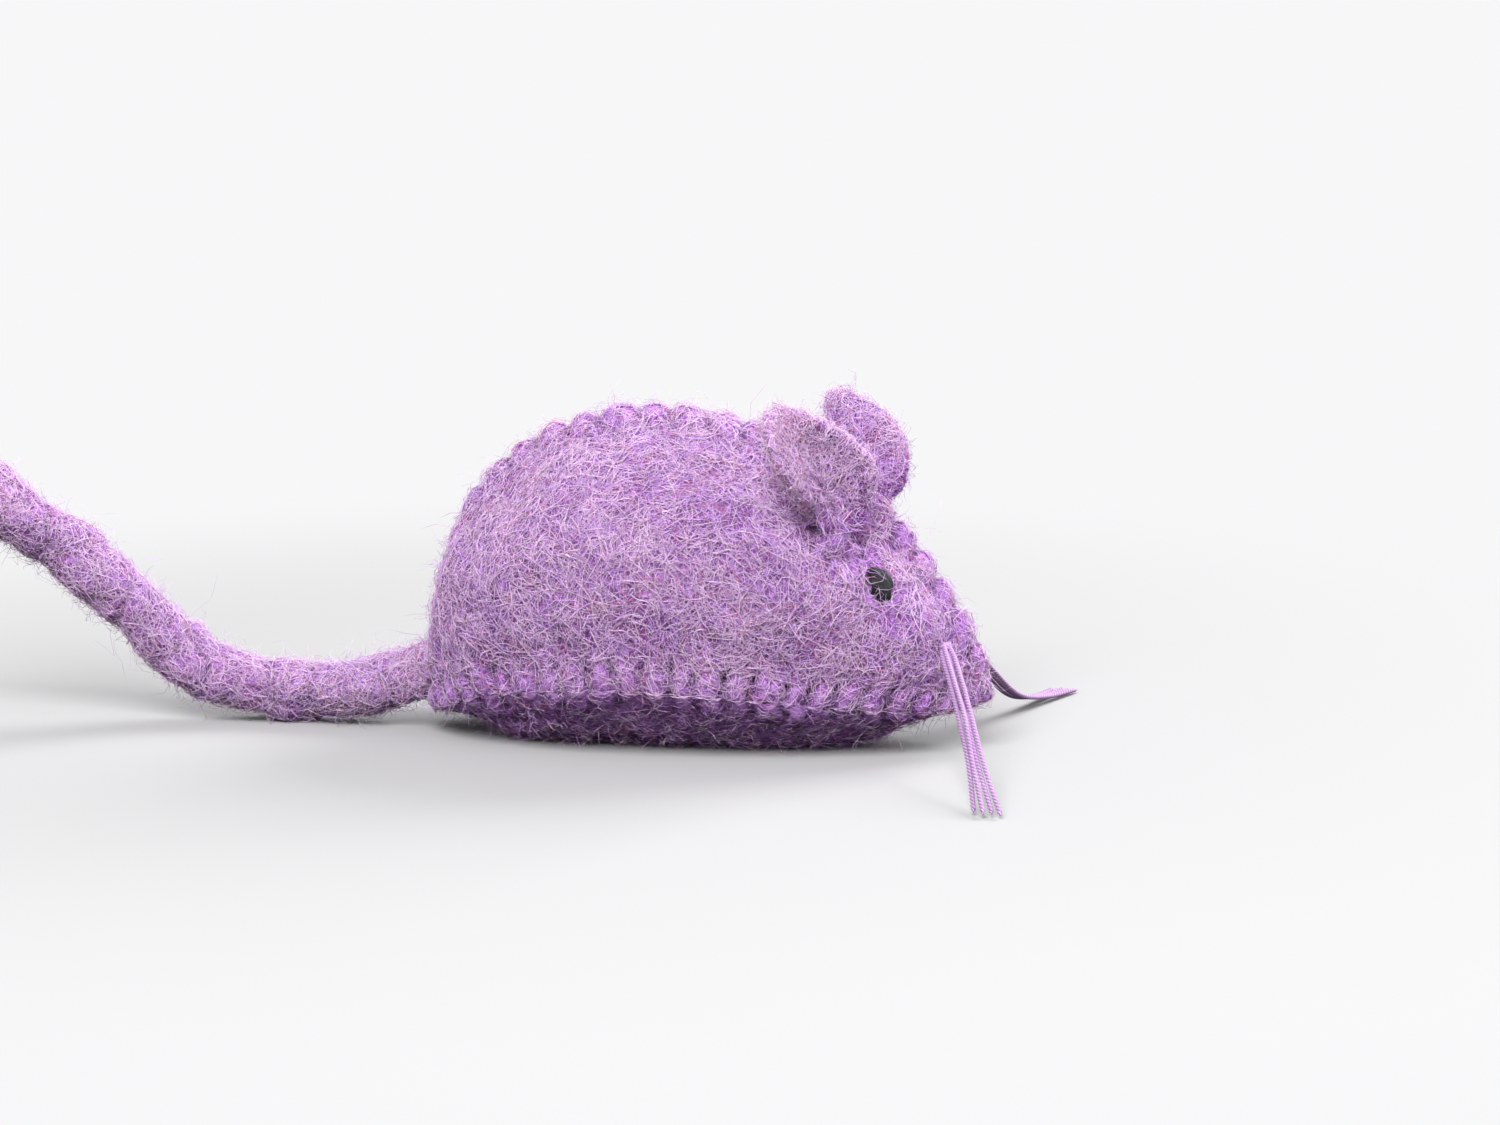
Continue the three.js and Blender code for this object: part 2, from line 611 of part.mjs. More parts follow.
// One length of the tail: it ends in a dome about the next joint and starts hollowed round the last one
function tailLength(index) {
  const start = TAIL_JOINTS[index];
  const end = TAIL_JOINTS[index + 1] ?? 1;
  const dome = [0.35, 0.7, 1.05].map((angle) => ({ shift: Math.sin(angle), radius: Math.cos(angle) }));
  const rings = [];
  if (index === 0) {
    dome.toReversed().forEach(({ shift, radius }) => {
      rings.push(tailRing(start, -shift * tailRadius(start), radius * tailRadius(start)));
    });
  }
  const STEPS = 7;
  for (let i = 0; i <= STEPS; i++) {
    const share = THREE.MathUtils.lerp(start, end, i / STEPS);
    rings.push(tailRing(share, 0, tailRadius(share)));
  }
  dome.forEach(({ shift, radius }) => {
    rings.push(tailRing(end, shift * tailRadius(end), radius * tailRadius(end)));
  });
  const poleShift = index === 0 ? tailRadius(start) : 0;
  const first = along(tailPath.getPointAt(start), tailPath.getTangentAt(start), -poleShift);
  const last = along(tailPath.getPointAt(end), tailPath.getTangentAt(end), tailRadius(end));
  const roll = loft(rings, first, last);
  return index === 0 ? cut(roll, [tailThread(THREAD_HOLE_RADIUS)]) : cut(roll, [tailSocket(index)]);
}

function tailSocket(index) {
  const { x, y, z } = tailPath.getPointAt(TAIL_JOINTS[index]);
  return new THREE.SphereGeometry(tailRadius(TAIL_JOINTS[index]) + TAIL_GAP, 16, 10).translate(x, y, z);
}

// The stitch through the tail's root, which the tail lifts about, with both ends caught in the side panels
function tailThread(radius) {
  const bend = TAIL_ROOT / 2 + TAIL_GAP + THREAD;
  const anchor = (side) => tailStart.clone().add(new THREE.Vector3(FELT + GAP, side * (bend + 1), 0));
  const corner = (side) => tailStart.clone().add(new THREE.Vector3(0, side * bend, 0));
  const points = [anchor(SIDES.right), corner(SIDES.right), corner(SIDES.left), anchor(SIDES.left)];
  return tube(new THREE.CatmullRomCurve3(points, false, "catmullrom", 0.1), 16, 4, radius);
}

// Filling: two fibre wads with the catnip pouch between them, one clearance inside the felt
const FILLING_EDGE = 9; // how far the filling stays from a seam's edge, clear of the stitches
const FILLING_ROWS = [0, 0.2, 0.4, 0.6, 0.8, 1];
const FILLING_BELLY_ROWS = [0, 0.33, 0.67, 1];

function fillingRing(u) {
  const spread = (rows, width) => {
    const edge = Math.min(0.43, FILLING_EDGE / width);
    return rows.map((share) => THREE.MathUtils.lerp(edge, 1 - edge, share));
  };
  const inward = ({ surface, normal, width }, rows) =>
    spread(rows, width(u)).map((v) => along(onFloor(surface(u, v)), normal(u, v), -FELT - 2 * GAP));
  return [
    ...inward(bellyPanel, FILLING_BELLY_ROWS),
    ...inward(sidePanels[SIDES.left], FILLING_ROWS),
    ...inward(sidePanels[SIDES.right], FILLING_ROWS).reverse(),
  ];
}

function filling(from, to) {
  const STEPS = 6;
  const rings = Array.from({ length: STEPS + 1 }, (_, i) =>
    fillingRing(THREE.MathUtils.lerp(from, to, i / STEPS)),
  );
  const centre = (ring) => ring.reduce((sum, p) => sum.add(p), new THREE.Vector3()).divideScalar(ring.length);
  return loft(rings, centre(rings[0]), centre(rings[STEPS]));
}

const FILLING = { rear: [0.225, 0.36], catnip: [0.37, 0.55], front: [0.56, 0.88] };

// Assembly
const mouse = new THREE.Group();
mouse.name = "catnip_mouse";

function add(name, geometry, material) {
  const mesh = new THREE.Mesh(geometry, material);
  mesh.name = name;
  mouse.add(mesh);
}

const rearHoles = [tailSocket(0), tailThread(THREAD_HOLE_RADIUS)];

for (const [name, side] of Object.entries(SIDES)) {
  const holes = [...rearHoles, whiskerCoreHole, eyePad(side, GAP), knotPad(side, GAP)];
  holes.push(earThread(side, THREAD_HOLE_RADIUS));
  add(`${name}_side_panel`, cut(panel(sidePanels[side]), holes), lilac);
  add(`${name}_ear`, cut(ear(side), [earBore(side)]), lilac);
  add(`${name}_ear_thread`, earThread(side, THREAD_RADIUS), threadLilac);
  add(`${name}_eye`, eyePad(side, 0), eyeBlack);
  add(`${name}_whisker_knot`, knotPad(side, 0), whiskerLilac);
  for (let index = 0; index < WHISKERS_PER_SIDE; index++) {
    add(`${name}_whisker_${index + 1}`, whisker(side, index), whiskerLilac);
  }
}
add("belly_panel", panel(bellyPanel), lilac);
add("back_seam_thread", backThread, threadLilac);
add("belly_seam_thread", bellyThread, threadLilac);
add("whisker_core", whiskerCore, whiskerLilac);
add("rear_stuffing", cut(filling(...FILLING.rear), rearHoles), fibreWhite);
add("catnip_pouch", filling(...FILLING.catnip), pouchCream);
add("front_stuffing", cut(filling(...FILLING.front), [whiskerCoreHole]), fibreWhite);
["tail_base", "tail_middle", "tail_upper", "tail_tip"].forEach((name, index) => {
  add(name, tailLength(index), lilac);
});
add("tail_thread", tailThread(THREAD_RADIUS), threadLilac);

export default mouse;
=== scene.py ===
"""Dresses a sewn felt catnip mouse: fuzzy felt panels with whip-stitched seams, petal ears, embroidered eyes,
twisted thread whiskers, a felted tail and the filling, on a pale studio floor.

Lengths in this file are millimetres until a mesh is made; +X is the nose, +Y the mouse's left, +Z up."""

import math
from dataclasses import dataclass
from typing import NamedTuple

import bpy
import numpy as np
from bpy.props import FloatProperty, FloatVectorProperty, IntProperty, PointerProperty
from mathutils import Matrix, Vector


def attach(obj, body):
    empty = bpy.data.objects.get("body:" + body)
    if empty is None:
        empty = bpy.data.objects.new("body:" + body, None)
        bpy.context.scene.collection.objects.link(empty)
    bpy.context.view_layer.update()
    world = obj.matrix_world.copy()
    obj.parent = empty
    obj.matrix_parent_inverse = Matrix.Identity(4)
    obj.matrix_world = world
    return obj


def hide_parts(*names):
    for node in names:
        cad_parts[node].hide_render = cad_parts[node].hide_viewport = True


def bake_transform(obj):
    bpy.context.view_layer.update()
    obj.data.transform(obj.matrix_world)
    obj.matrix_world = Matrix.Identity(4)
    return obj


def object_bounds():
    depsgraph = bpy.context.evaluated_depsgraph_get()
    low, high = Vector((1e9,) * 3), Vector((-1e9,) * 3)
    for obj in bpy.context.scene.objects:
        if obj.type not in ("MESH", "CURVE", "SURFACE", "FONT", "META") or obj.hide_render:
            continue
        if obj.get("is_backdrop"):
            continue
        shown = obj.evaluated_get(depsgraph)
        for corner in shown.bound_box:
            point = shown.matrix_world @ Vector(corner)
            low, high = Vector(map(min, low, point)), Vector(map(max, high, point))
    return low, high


bl_info = {
    "name": "Felt Catnip Mouse",
    "version": (1, 0, 0),
    "blender": (4, 5, 0),
    "location": "View3D > Sidebar > Felt Mouse",
    "description": "Builds the felt, stitches, whiskers, tail and filling of a sewn catnip mouse",
    "category": "Object",
}

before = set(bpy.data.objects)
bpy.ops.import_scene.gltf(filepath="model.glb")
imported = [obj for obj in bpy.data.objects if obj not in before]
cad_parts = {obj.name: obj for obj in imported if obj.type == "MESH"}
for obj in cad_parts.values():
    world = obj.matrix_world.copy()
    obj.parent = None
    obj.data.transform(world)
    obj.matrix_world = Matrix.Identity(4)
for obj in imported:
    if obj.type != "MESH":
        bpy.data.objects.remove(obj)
CAD_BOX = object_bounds()
MM = 0.001

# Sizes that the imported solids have
BODY_LENGTH = 80.6
BODY_HEIGHT = 47.5
BELLY_WIDTH = 38
SEAM_HEIGHT = 10
TAIL_CORNER_HEIGHT = 3
NOSE_HEIGHT = 7.5
SIDE_BULGE = 10
FELT = 2.4
FLANGE = 1.8
FLANGE_REACH = 4
REST_CUT = 1
GAP = 0.3
SEAM_GAP = 0.08
THREAD = 0.6
STITCH_REACH = 2.8
EAR_HEIGHT = 17
EAR_WIDTH = 15
EAR_BASE = 7.6
EAR_CUP = 3.6
EYE_WIDTH = 4.4
EYE_HEIGHT = 5.2
KNOT_WIDTH = 3.2
WHISKER_LENGTH = 42
WHISKER = 0.75
WHISKERS_PER_SIDE = 4
TAIL_ROOT = 7.2
TAIL_MIDDLE = 7.8
TAIL_TIP = 3.4
TAIL_FLOOR = TAIL_MIDDLE / 2 + 0.1

# Outlines as shares of those sizes: [along the length, up the height] of the back, and [along the length,
# across the half width, up the seam height] of the belly
BACK_OUTLINE = [
    (0.006, 0.36), (0.065, 0.7), (0.2, 0.915), (0.39, 1),
    (0.6, 0.94), (0.795, 0.745), (0.925, 0.47), (0.99, 0.26),
]
BELLY_OUTLINE = [
    (0.02, 0.3, 0.38), (0.1, 0.66, 0.68), (0.23, 0.92, 0.92), (0.4, 1, 1),
    (0.6, 0.9, 0.9), (0.77, 0.66, 0.74), (0.91, 0.37, 0.65), (0.98, 0.17, 0.69),
]
WIDEST_AT = 0.42  # share from tail to nose where a side panel is widest
SIDE_ROUNDNESS = 0.85
BELLY_ROUNDNESS = 0.8
BELLY_FILLS, BELLY_THINS = 0.24, 0.66  # shares from tail to nose between which the belly sags fully
NARROW_FELT = 0.22  # the most of a narrow panel's width that its felt is thick

# Where things sit on a side panel: share from tail to nose, share from belly seam to back seam
EAR_AT = (0.7, 0.765)
EYE_AT = (0.77, 0.62)
KNOT_AT = (0.885, 0.56)
SIDES = {"right": -1, "left": 1}
UP = np.array([0.0, 0.0, 1.0])


# Small maths on whole arrays
WAVES = 14  # sine waves in a field of lumps
CURVE_STEPS = 120  # straight steps between two points of a curve
TANGENT_STEP = 0.001


def unit(vectors):
    """Each vector divided by its length."""
    return vectors / np.maximum(np.linalg.norm(vectors, axis=-1, keepdims=True), 1e-12)


def smooth(low, high, x):
    """0 below low, 1 above high, with a smooth cubic step between them."""
    t = np.clip((x - low) / (high - low), 0, 1)
    return t * t * (3 - 2 * t)


def dot(a, b):
    """Products of matching vectors."""
    return np.sum(a * b, axis=-1)


def bell(x, width, y=0.0, length=1.0):
    """1 at 0, falling off over the width to both sides, and over the length too where y is given."""
    return np.exp(-((x / width) ** 2) - (y / length) ** 2)


def lumps(points, wavelength, seed):
    """A smooth random field of about -1 to 1: a sum of sine waves in random directions, of lengths from 0.7
    to 1.5 times wavelength."""
    rng = np.random.default_rng(seed)
    directions = unit(rng.normal(size=(WAVES, 3)))
    waves = 2 * np.pi / (wavelength * rng.uniform(0.7, 1.5, WAVES))
    phases = rng.uniform(0, 2 * np.pi, WAVES)
    return np.sin(points @ (directions * waves[:, None]).T + phases).sum(axis=-1) / math.sqrt(WAVES)


def rough(points, layers):
    """Lumps of several sizes added up; each layer is a height, a wavelength and a seed."""
    return sum(height * lumps(points, wavelength, seed) for height, wavelength, seed in layers)


class Curve:
    """A centripetal Catmull-Rom curve through points, read by the share of its length."""

    def __init__(self, points, closed=False):
        p = np.asarray(points, float)
        if closed:
            before, start, end, after = (np.roll(p, k, axis=0) for k in (1, 0, -1, -2))
        else:
            longer = np.vstack([2 * p[0] - p[1], p, 2 * p[-1] - p[-2]])
            before, start, end, after = longer[:-3], longer[1:-2], longer[2:-1], longer[3:]
        d0, d1, d2 = (
            np.sum((b - a) ** 2, axis=1, keepdims=True) ** 0.25
            for a, b in ((before, start), (start, end), (end, after))
        )
        leave = ((start - before) / d0 - (end - before) / (d0 + d1) + (end - start) / d1) * d1
        arrive = ((end - start) / d1 - (after - start) / (d1 + d2) + (after - end) / d2) * d1
        t = np.linspace(0, 1, CURVE_STEPS, endpoint=False)[None, :, None]
        line = (
            start[:, None] * (2 * t**3 - 3 * t**2 + 1)
            + leave[:, None] * (t**3 - 2 * t**2 + t)
            + end[:, None] * (3 * t**2 - 2 * t**3)
            + arrive[:, None] * (t**3 - t**2)
        ).reshape(-1, 3)
        self.line = np.vstack([line, p[0] if closed else p[-1]])
        self.reach = np.concatenate([[0], np.cumsum(np.linalg.norm(np.diff(self.line, axis=0), axis=1))])
        self.length = self.reach[-1]

    def point(self, share):
        at = np.asarray(share) * self.length
        return np.stack([np.interp(at, self.reach, self.line[:, k]) for k in range(3)], axis=-1)

    def tangent(self, share):
        before, after = (np.clip(np.asarray(share) + k * TANGENT_STEP, 0, 1) for k in (-1, 1))
        return unit(self.point(after) - self.point(before))


# The felt panels' shapes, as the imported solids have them
TAIL_CORNER = np.array([-BODY_LENGTH / 2, 0, TAIL_CORNER_HEIGHT])
NOSE_CORNER = np.array([BODY_LENGTH / 2, 0, NOSE_HEIGHT])


def belly_points(side):
    """The belly outline's points on one side."""
    return [
        ((length - 0.5) * BODY_LENGTH, side * width * BELLY_WIDTH / 2, height * SEAM_HEIGHT)
        for length, width, height in BELLY_OUTLINE
    ]


BACK_SEAM = Curve(
    [TAIL_CORNER, *(((x - 0.5) * BODY_LENGTH, 0, z * BODY_HEIGHT) for x, z in BACK_OUTLINE), NOSE_CORNER]
)
BELLY_SEAM = Curve([TAIL_CORNER, *belly_points(1), NOSE_CORNER, *belly_points(-1)[::-1]], closed=True)


class Edge(NamedTuple):
    """A seam's points, its directions, and the ways that face out of the toy."""

    point: np.ndarray
    tangent: np.ndarray
    out: np.ndarray

    def inset(self):
        """The seam drawn in by the flange."""
        return self.point - self.out * FLANGE


def back_edge(u):
    """The back seam at shares of its length."""
    tangent = BACK_SEAM.tangent(u)
    out = np.stack([-tangent[..., 2], np.zeros_like(tangent[..., 0]), tangent[..., 0]], axis=-1)
    return Edge(BACK_SEAM.point(u), tangent, out)


def belly_edge(u, side):
    """The same for the belly seam on one side: its out is level."""
    around = u / 2 if side > 0 else 1 - u / 2
    tangent = BELLY_SEAM.tangent(around) * side
    return Edge(BELLY_SEAM.point(around), tangent, unit(np.cross(tangent, UP) * -side))


def between_edges(low, high, share, swell):
    """A panel between two edges: the straight line from one to the other, both drawn in by the flange, plus a
    swelling, with the edges flared out again over the last few millimetres."""
    start, end = low.inset()[:, None], high.inset()[:, None]
    width = np.linalg.norm(end - start, axis=-1)
    nearest = np.minimum(share, 1 - share) * width
    flare = FLANGE * np.maximum(0, 1 - nearest / FLANGE_REACH) ** 2
    share = share[..., None]
    out = unit(low.out[:, None] * (1 - share) + high.out[:, None] * share)
    return start * (1 - share) + end * share + swell + out * flare[..., None]


def chord_of(u, side):
    """The straight line across a side panel, from its belly seam to its back seam."""
    low, high = belly_edge(u, side), back_edge(u)
    return high.point - high.out * FLANGE - low.point + low.out * FLANGE


WIDEST_CHORD = np.linalg.norm(chord_of(np.array([WIDEST_AT]), 1))


def side_surface(u, v, side):
    """A side panel's outer face: its chord, swollen outward by a sine of the share across it."""
    low, high = belly_edge(u, side), back_edge(u)
    chord = chord_of(u, side)
    outward = unit(np.cross(chord, (low.tangent + high.tangent) / 2) * side)
    amount = SIDE_BULGE * np.linalg.norm(chord, axis=-1)[:, None] / WIDEST_CHORD
    amount = amount * np.sin(np.pi * v) ** SIDE_ROUNDNESS
    return between_edges(low, high, v, outward[:, None] * amount[..., None])


def belly_surface(u, w):
    """The belly panel's outer face: it sags to the floor between its seams and rests flat there."""
    low, high = belly_edge(u, -1), belly_edge(u, 1)
    fullness = smooth(0, BELLY_FILLS, u) * (1 - smooth(BELLY_THINS, 1, u))
    depth = ((low.point[:, 2] + REST_CUT) * fullness)[:, None] * (1 - (2 * w - 1) ** 2) ** BELLY_ROUNDNESS
    return between_edges(low, high, w, -depth[..., None] * UP)


def felt_at(u):
    """Felt thickness, less where a panel narrows to a point."""
    return np.minimum(FELT, NARROW_FELT * np.linalg.norm(chord_of(u, 1), axis=-1))


def room_at(u):
    """The same as a share of the full thickness."""
    return felt_at(u) / FELT


def seat_on(at, side):
    """A place on a side panel: its point, outward normal, and directions forward and up along the felt."""
    step = 0.004
    u, v = at

    def point(du, dv):
        return side_surface(np.array([u + du]), np.array([[v + dv]]), side)[0, 0]

    along = point(step, 0) - point(-step, 0)
    upward = point(0, step) - point(0, -step)
    normal = unit(np.cross(along, upward) * -side)
    forward = unit(along)
    upward = unit(np.cross(normal, forward) * side)
    return point(0, 0), normal, unit(np.cross(upward, normal)), upward


INSIDE = 1.001  # keeps a reading inside a grid's last cell


class Felt:
    """A felt surface: a grid of points and its outward normals. Where it is round, its last column is its
    first."""

    def __init__(self, points, sign=1, is_round=False):
        self.points = points
        self.is_round = is_round
        self.rows, self.columns = points.shape[:2]
        if is_round:
            ring = points[:, :-1]
            across = np.roll(ring, -1, axis=1) - np.roll(ring, 1, axis=1)
            across = np.concatenate([across, across[:, :1]], axis=1) / 2
        else:
            across = np.gradient(points, axis=1)
        self.along = np.gradient(points, axis=0)
        self.across = across
        cross = np.cross(self.along, across)
        self.area = np.linalg.norm(cross, axis=-1)
        self.normals = unit(cross) * sign

    def read(self, values, a, b):
        """Values of the grid at fractional rows a and columns b, straight between its points."""
        a = np.clip(a, 0, self.rows - INSIDE)
        b = b % (self.columns - 1) if self.is_round else np.clip(b, 0, self.columns - INSIDE)
        i, j = a.astype(int), b.astype(int)
        s, t = (a - i)[..., None], (b - j)[..., None]
        first = values[i, j] * (1 - s) + values[i + 1, j] * s
        second = values[i, j + 1] * (1 - s) + values[i + 1, j + 1] * s
        return first * (1 - t) + second * t

    def number(self, values, a, b):
        """The same for a grid of single numbers."""
        return self.read(values[..., None], a, b)[..., 0]


# Meshes
MAP_SPAN = (0.005, 0.995)  # what is used of the flat map
FRONT_STRIP, BACK_STRIP, RIM_STRIP = (0.005, 0.6), (0.61, 0.95), (0.96, 0.99)


@dataclass
class Shape:
    """Vertices and faces of a mesh, with a place for each face corner on a flat map."""

    vertices: np.ndarray
    faces: list
    corners: list


def cells(grid):
    """The four corners of each cell of a grid, one cell after another."""
    corners = np.stack([grid[:-1, :-1], grid[1:, :-1], grid[1:, 1:], grid[:-1, 1:]], axis=2)
    return corners.reshape(-1, *corners.shape[2:])


def grid_map(rows, columns, strip=MAP_SPAN):
    """Flat-map corners that lay a grid's faces evenly over a strip of the map."""
    place = np.meshgrid(np.linspace(*MAP_SPAN, rows), np.linspace(*strip, columns), indexing="ij")
    return cells(np.stack(place, axis=-1))


def shell(front, back, facing):
    """A closed slab between two matching grids: both faces and a rim round them; facing turns it outward."""
    rows, columns = front.shape[:2]
    index = np.arange(rows * columns).reshape(rows, columns)
    ring = np.concatenate([index[0], index[1:, -1], index[-1, -2::-1], index[-2:0:-1, 0], index[:1, 0]])
    rim = np.stack([ring + index.size, ring])
    faces = [cells(index), cells(index + index.size)[:, ::-1], cells(rim)]
    corners = [
        grid_map(rows, columns, FRONT_STRIP),
        grid_map(rows, columns, BACK_STRIP)[:, ::-1],
        grid_map(2, len(ring), RIM_STRIP),
    ]
    if facing < 0:
        faces, corners = ([part[:, ::-1] for part in parts] for parts in (faces, corners))
    return Shape(np.concatenate([front.reshape(-1, 3), back.reshape(-1, 3)]), faces, corners)


def loft(rings, start, end):
    """A closed body through rings of points, whose last point is their first, with a point at each end."""
    count, columns = rings.shape[0], rings.shape[1] - 1
    index = np.arange(count * columns).reshape(count, columns)
    index = np.concatenate([index, index[:, :1]], axis=1)
    first, last = count * columns, count * columns + 1
    ends = [
        np.stack([np.full(columns, first), index[0, :-1], index[0, 1:]], axis=-1),
        np.stack([np.full(columns, last), index[-1, 1:], index[-1, :-1]], axis=-1),
    ]
    body = grid_map(count + 2, columns + 1).reshape(count + 1, columns, 4, 2)
    corners = [body[1:-1], body[0][:, [0, 1, 2]], body[-1][:, [1, 3, 0]]]
    vertices = np.concatenate([rings[:, :-1].reshape(-1, 3), [start], [end]])
    return Shape(vertices, [cells(index), *ends], corners)


def capped(rings):
    """The same, with the middles of the first and the last ring as its ends."""
    return loft(rings, *(ring[:-1].mean(axis=0) for ring in (rings[0], rings[-1])))


def joined(shapes):
    """Several shapes as one mesh."""
    start = np.cumsum([0, *(len(s.vertices) for s in shapes)])
    return Shape(
        np.concatenate([s.vertices for s in shapes]),
        [f + n for s, n in zip(shapes, start) for f in s.faces],
        [c for s in shapes for c in s.corners],
    )


def winding(count, turns):
    """How far round two twisted plies have wound at each of a tube's rings."""
    return np.linspace(0, 2 * np.pi * turns, count)[:, None]


def tube(path, reference, radius, sides, turns, waist):
    """A closed tube round a path: reference gives its rings' zero direction, radius their size. The rings are
    pinched by waist at two opposite sides, and the pinch winds round the path, as two twisted plies do."""
    tangent = unit(np.gradient(path, axis=0))
    first = unit(reference - tangent * dot(reference, tangent)[:, None])
    second = np.cross(first, tangent)
    angle = np.linspace(0, 2 * np.pi, sides + 1)
    pinch = 1 - waist * np.cos(angle - winding(len(path), turns)) ** 2
    size = np.broadcast_to(np.asarray(radius, float), len(path))[:, None] * pinch
    ring = first[:, None] * np.cos(angle)[:, None] + second[:, None] * np.sin(angle)[:, None]
    return loft(path[:, None] + ring * size[..., None], path[0], path[-1])


def painted_ply_shade(count, sides, turns):
    """Painted shade for the vertices of a tube with that many rings: 1 in the pinch between its plies, 0 on
    their backs.
    """
    angle = np.linspace(0, 2 * np.pi, sides, endpoint=False)
    return np.append(np.cos(angle - winding(count, turns)).ravel() ** 2, [0, 0])


def add_piece(name, shape, kind, node=None, body="mouse_body", bend=None, **values):
    """A piece from a shape, in metres, of a kind of material, with named numbers at its vertices. It hides
    the imported solid of the node where one is named, and follows a body; where a bend is given, it follows
    none."""
    mesh = bpy.data.meshes.new(name)
    mesh.vertices.add(len(shape.vertices))
    mesh.vertices.foreach_set("co", (shape.vertices * MM).astype(np.float32).ravel())
    sizes = np.concatenate([np.full(len(f), f.shape[1]) for f in shape.faces])
    mesh.loops.add(int(sizes.sum()))
    mesh.loops.foreach_set("vertex_index", np.concatenate([f.ravel() for f in shape.faces]).astype(np.int32))
    mesh.polygons.add(len(sizes))
    mesh.polygons.foreach_set("loop_start", np.concatenate([[0], np.cumsum(sizes)[:-1]]).astype(np.int32))
    mesh.polygons.foreach_set("use_smooth", np.ones(len(sizes), bool))
    flat = mesh.uv_layers.new(name="OFBake")
    flat.data.foreach_set("uv", np.concatenate([c.ravel() for c in shape.corners]).astype(np.float32))
    for key, numbers in values.items():
        attribute = mesh.attributes.new(key, "FLOAT", "POINT")
        attribute.data.foreach_set("value", np.asarray(numbers, np.float32).ravel())
    mesh.update(calc_edges=True)
    mesh.materials.append(material(kind))
    piece = bpy.data.objects.new(name, mesh)
    bpy.context.scene.collection.objects.link(piece)
    if node:
        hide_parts(node)
    if bend:
        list(bend)
        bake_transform(piece)
    else:
        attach(piece, body)
    return piece


def add_twist(name, path, reference, radius, sides, turns, waist, kind, node, body="mouse_body"):
    """A piece of twisted thread round a path, with painted shade in the pinch between its plies."""
    shape = tube(path, reference, radius, sides, turns, waist)
    return add_piece(name, shape, kind, node, body, groove=painted_ply_shade(len(path), sides, turns))


# Wool fibres
FIBRE_SIDES = 3
POINTED_ENDS = 2
MOST_HOLLOW = 0.55  # a fibre whose middle is over a deeper hollow than this is left out
PALEST = 0.94  # tone of the palest fibres; the few beyond it are pink
LENGTH_SPREAD = 0.35  # of the logarithm of the fibres' length
LIE_SPREAD = 0.85  # radians to both sides of the heading
ARCH_SPREAD = (0.3, 1.7)
WIDTH_SPREAD = (0.7, 1.3)
LIFT_CURVE = 1.5
CLEAR_OF_FELT = 0.5  # share of its radius that a fibre's middle line lies over the felt
CELL_MARGIN = 0.1  # of a fibre's cell on the flat map
FIRST_SIDE_AT = 0.15
LOWEST_FIBRE = 0.02  # height over the floor


class Style(NamedTuple):
    """A kind of fibre: straight steps along it, its length, how it bends, how it arches over the felt, how
    far its tip lifts off, its width as a share of the set one, and how much paler than the wool it is."""

    steps: int
    length: float
    bend: float
    arch: float
    lift: float
    width: float
    pale: float


STYLES = {
    "nap": Style(2, 3.2, 0.45, 0.09, 0.03, 0.9, -0.34),
    "loose_fibres": Style(4, 5.4, 0.45, 0.25, 0.3, 1.0, 0.66),
    "fuzz": Style(3, 2.5, 0.9, 0.3, 0.7, 0.5, 0.48),
    "stray_hairs": Style(5, 5.0, 0.6, 0.9, 1.1, 0.4, 0.7),
    "root_fibres": Style(4, 4.6, 0.4, 0.2, 0.25, 0.8, 0.0),
    "stray_fibres": Style(4, 3.2, 0.5, 0.15, 0.1, 0.55, 0.45),
}
WOOL = ("nap", "loose_fibres", "fuzz", "stray_hairs")


def walk(felt, a, b, angle, bend, stride, steps):
    """Walks over a felt surface from fractional rows a and columns b, each walk in a direction of its own
    that bends as it goes. Yields each step's row, column, point and normal."""
    for _ in range(steps + 1):
        ground, normal = felt.read(felt.points, a, b), unit(felt.read(felt.normals, a, b))
        yield a, b, ground, normal
        e1, e2 = felt.read(felt.along, a, b), felt.read(felt.across, a, b)
        first = unit(e1)
        second = np.cross(normal, first)
        go = (first * np.cos(angle)[:, None] + second * np.sin(angle)[:, None]) * stride[:, None]
        g11, g12, g22 = dot(e1, e1), dot(e1, e2), dot(e2, e2)
        t1, t2 = dot(go, e1), dot(go, e2)
        free = np.maximum(g11 * g22 - g12**2, 1e-9)
        da, db = (g22 * t1 - g12 * t2) / free, (g11 * t2 - g12 * t1) / free
        gone = np.linalg.norm(felt.read(felt.points, a + da, b + db) - ground, axis=-1)
        back = np.minimum(1, stride / np.maximum(gone, 1e-6))
        a = np.clip(a + da * back, 0, felt.rows - INSIDE)
        b = b + db * back
        if not felt.is_round:
            b = np.clip(b, 0, felt.columns - INSIDE)
        angle = angle + bend * stride


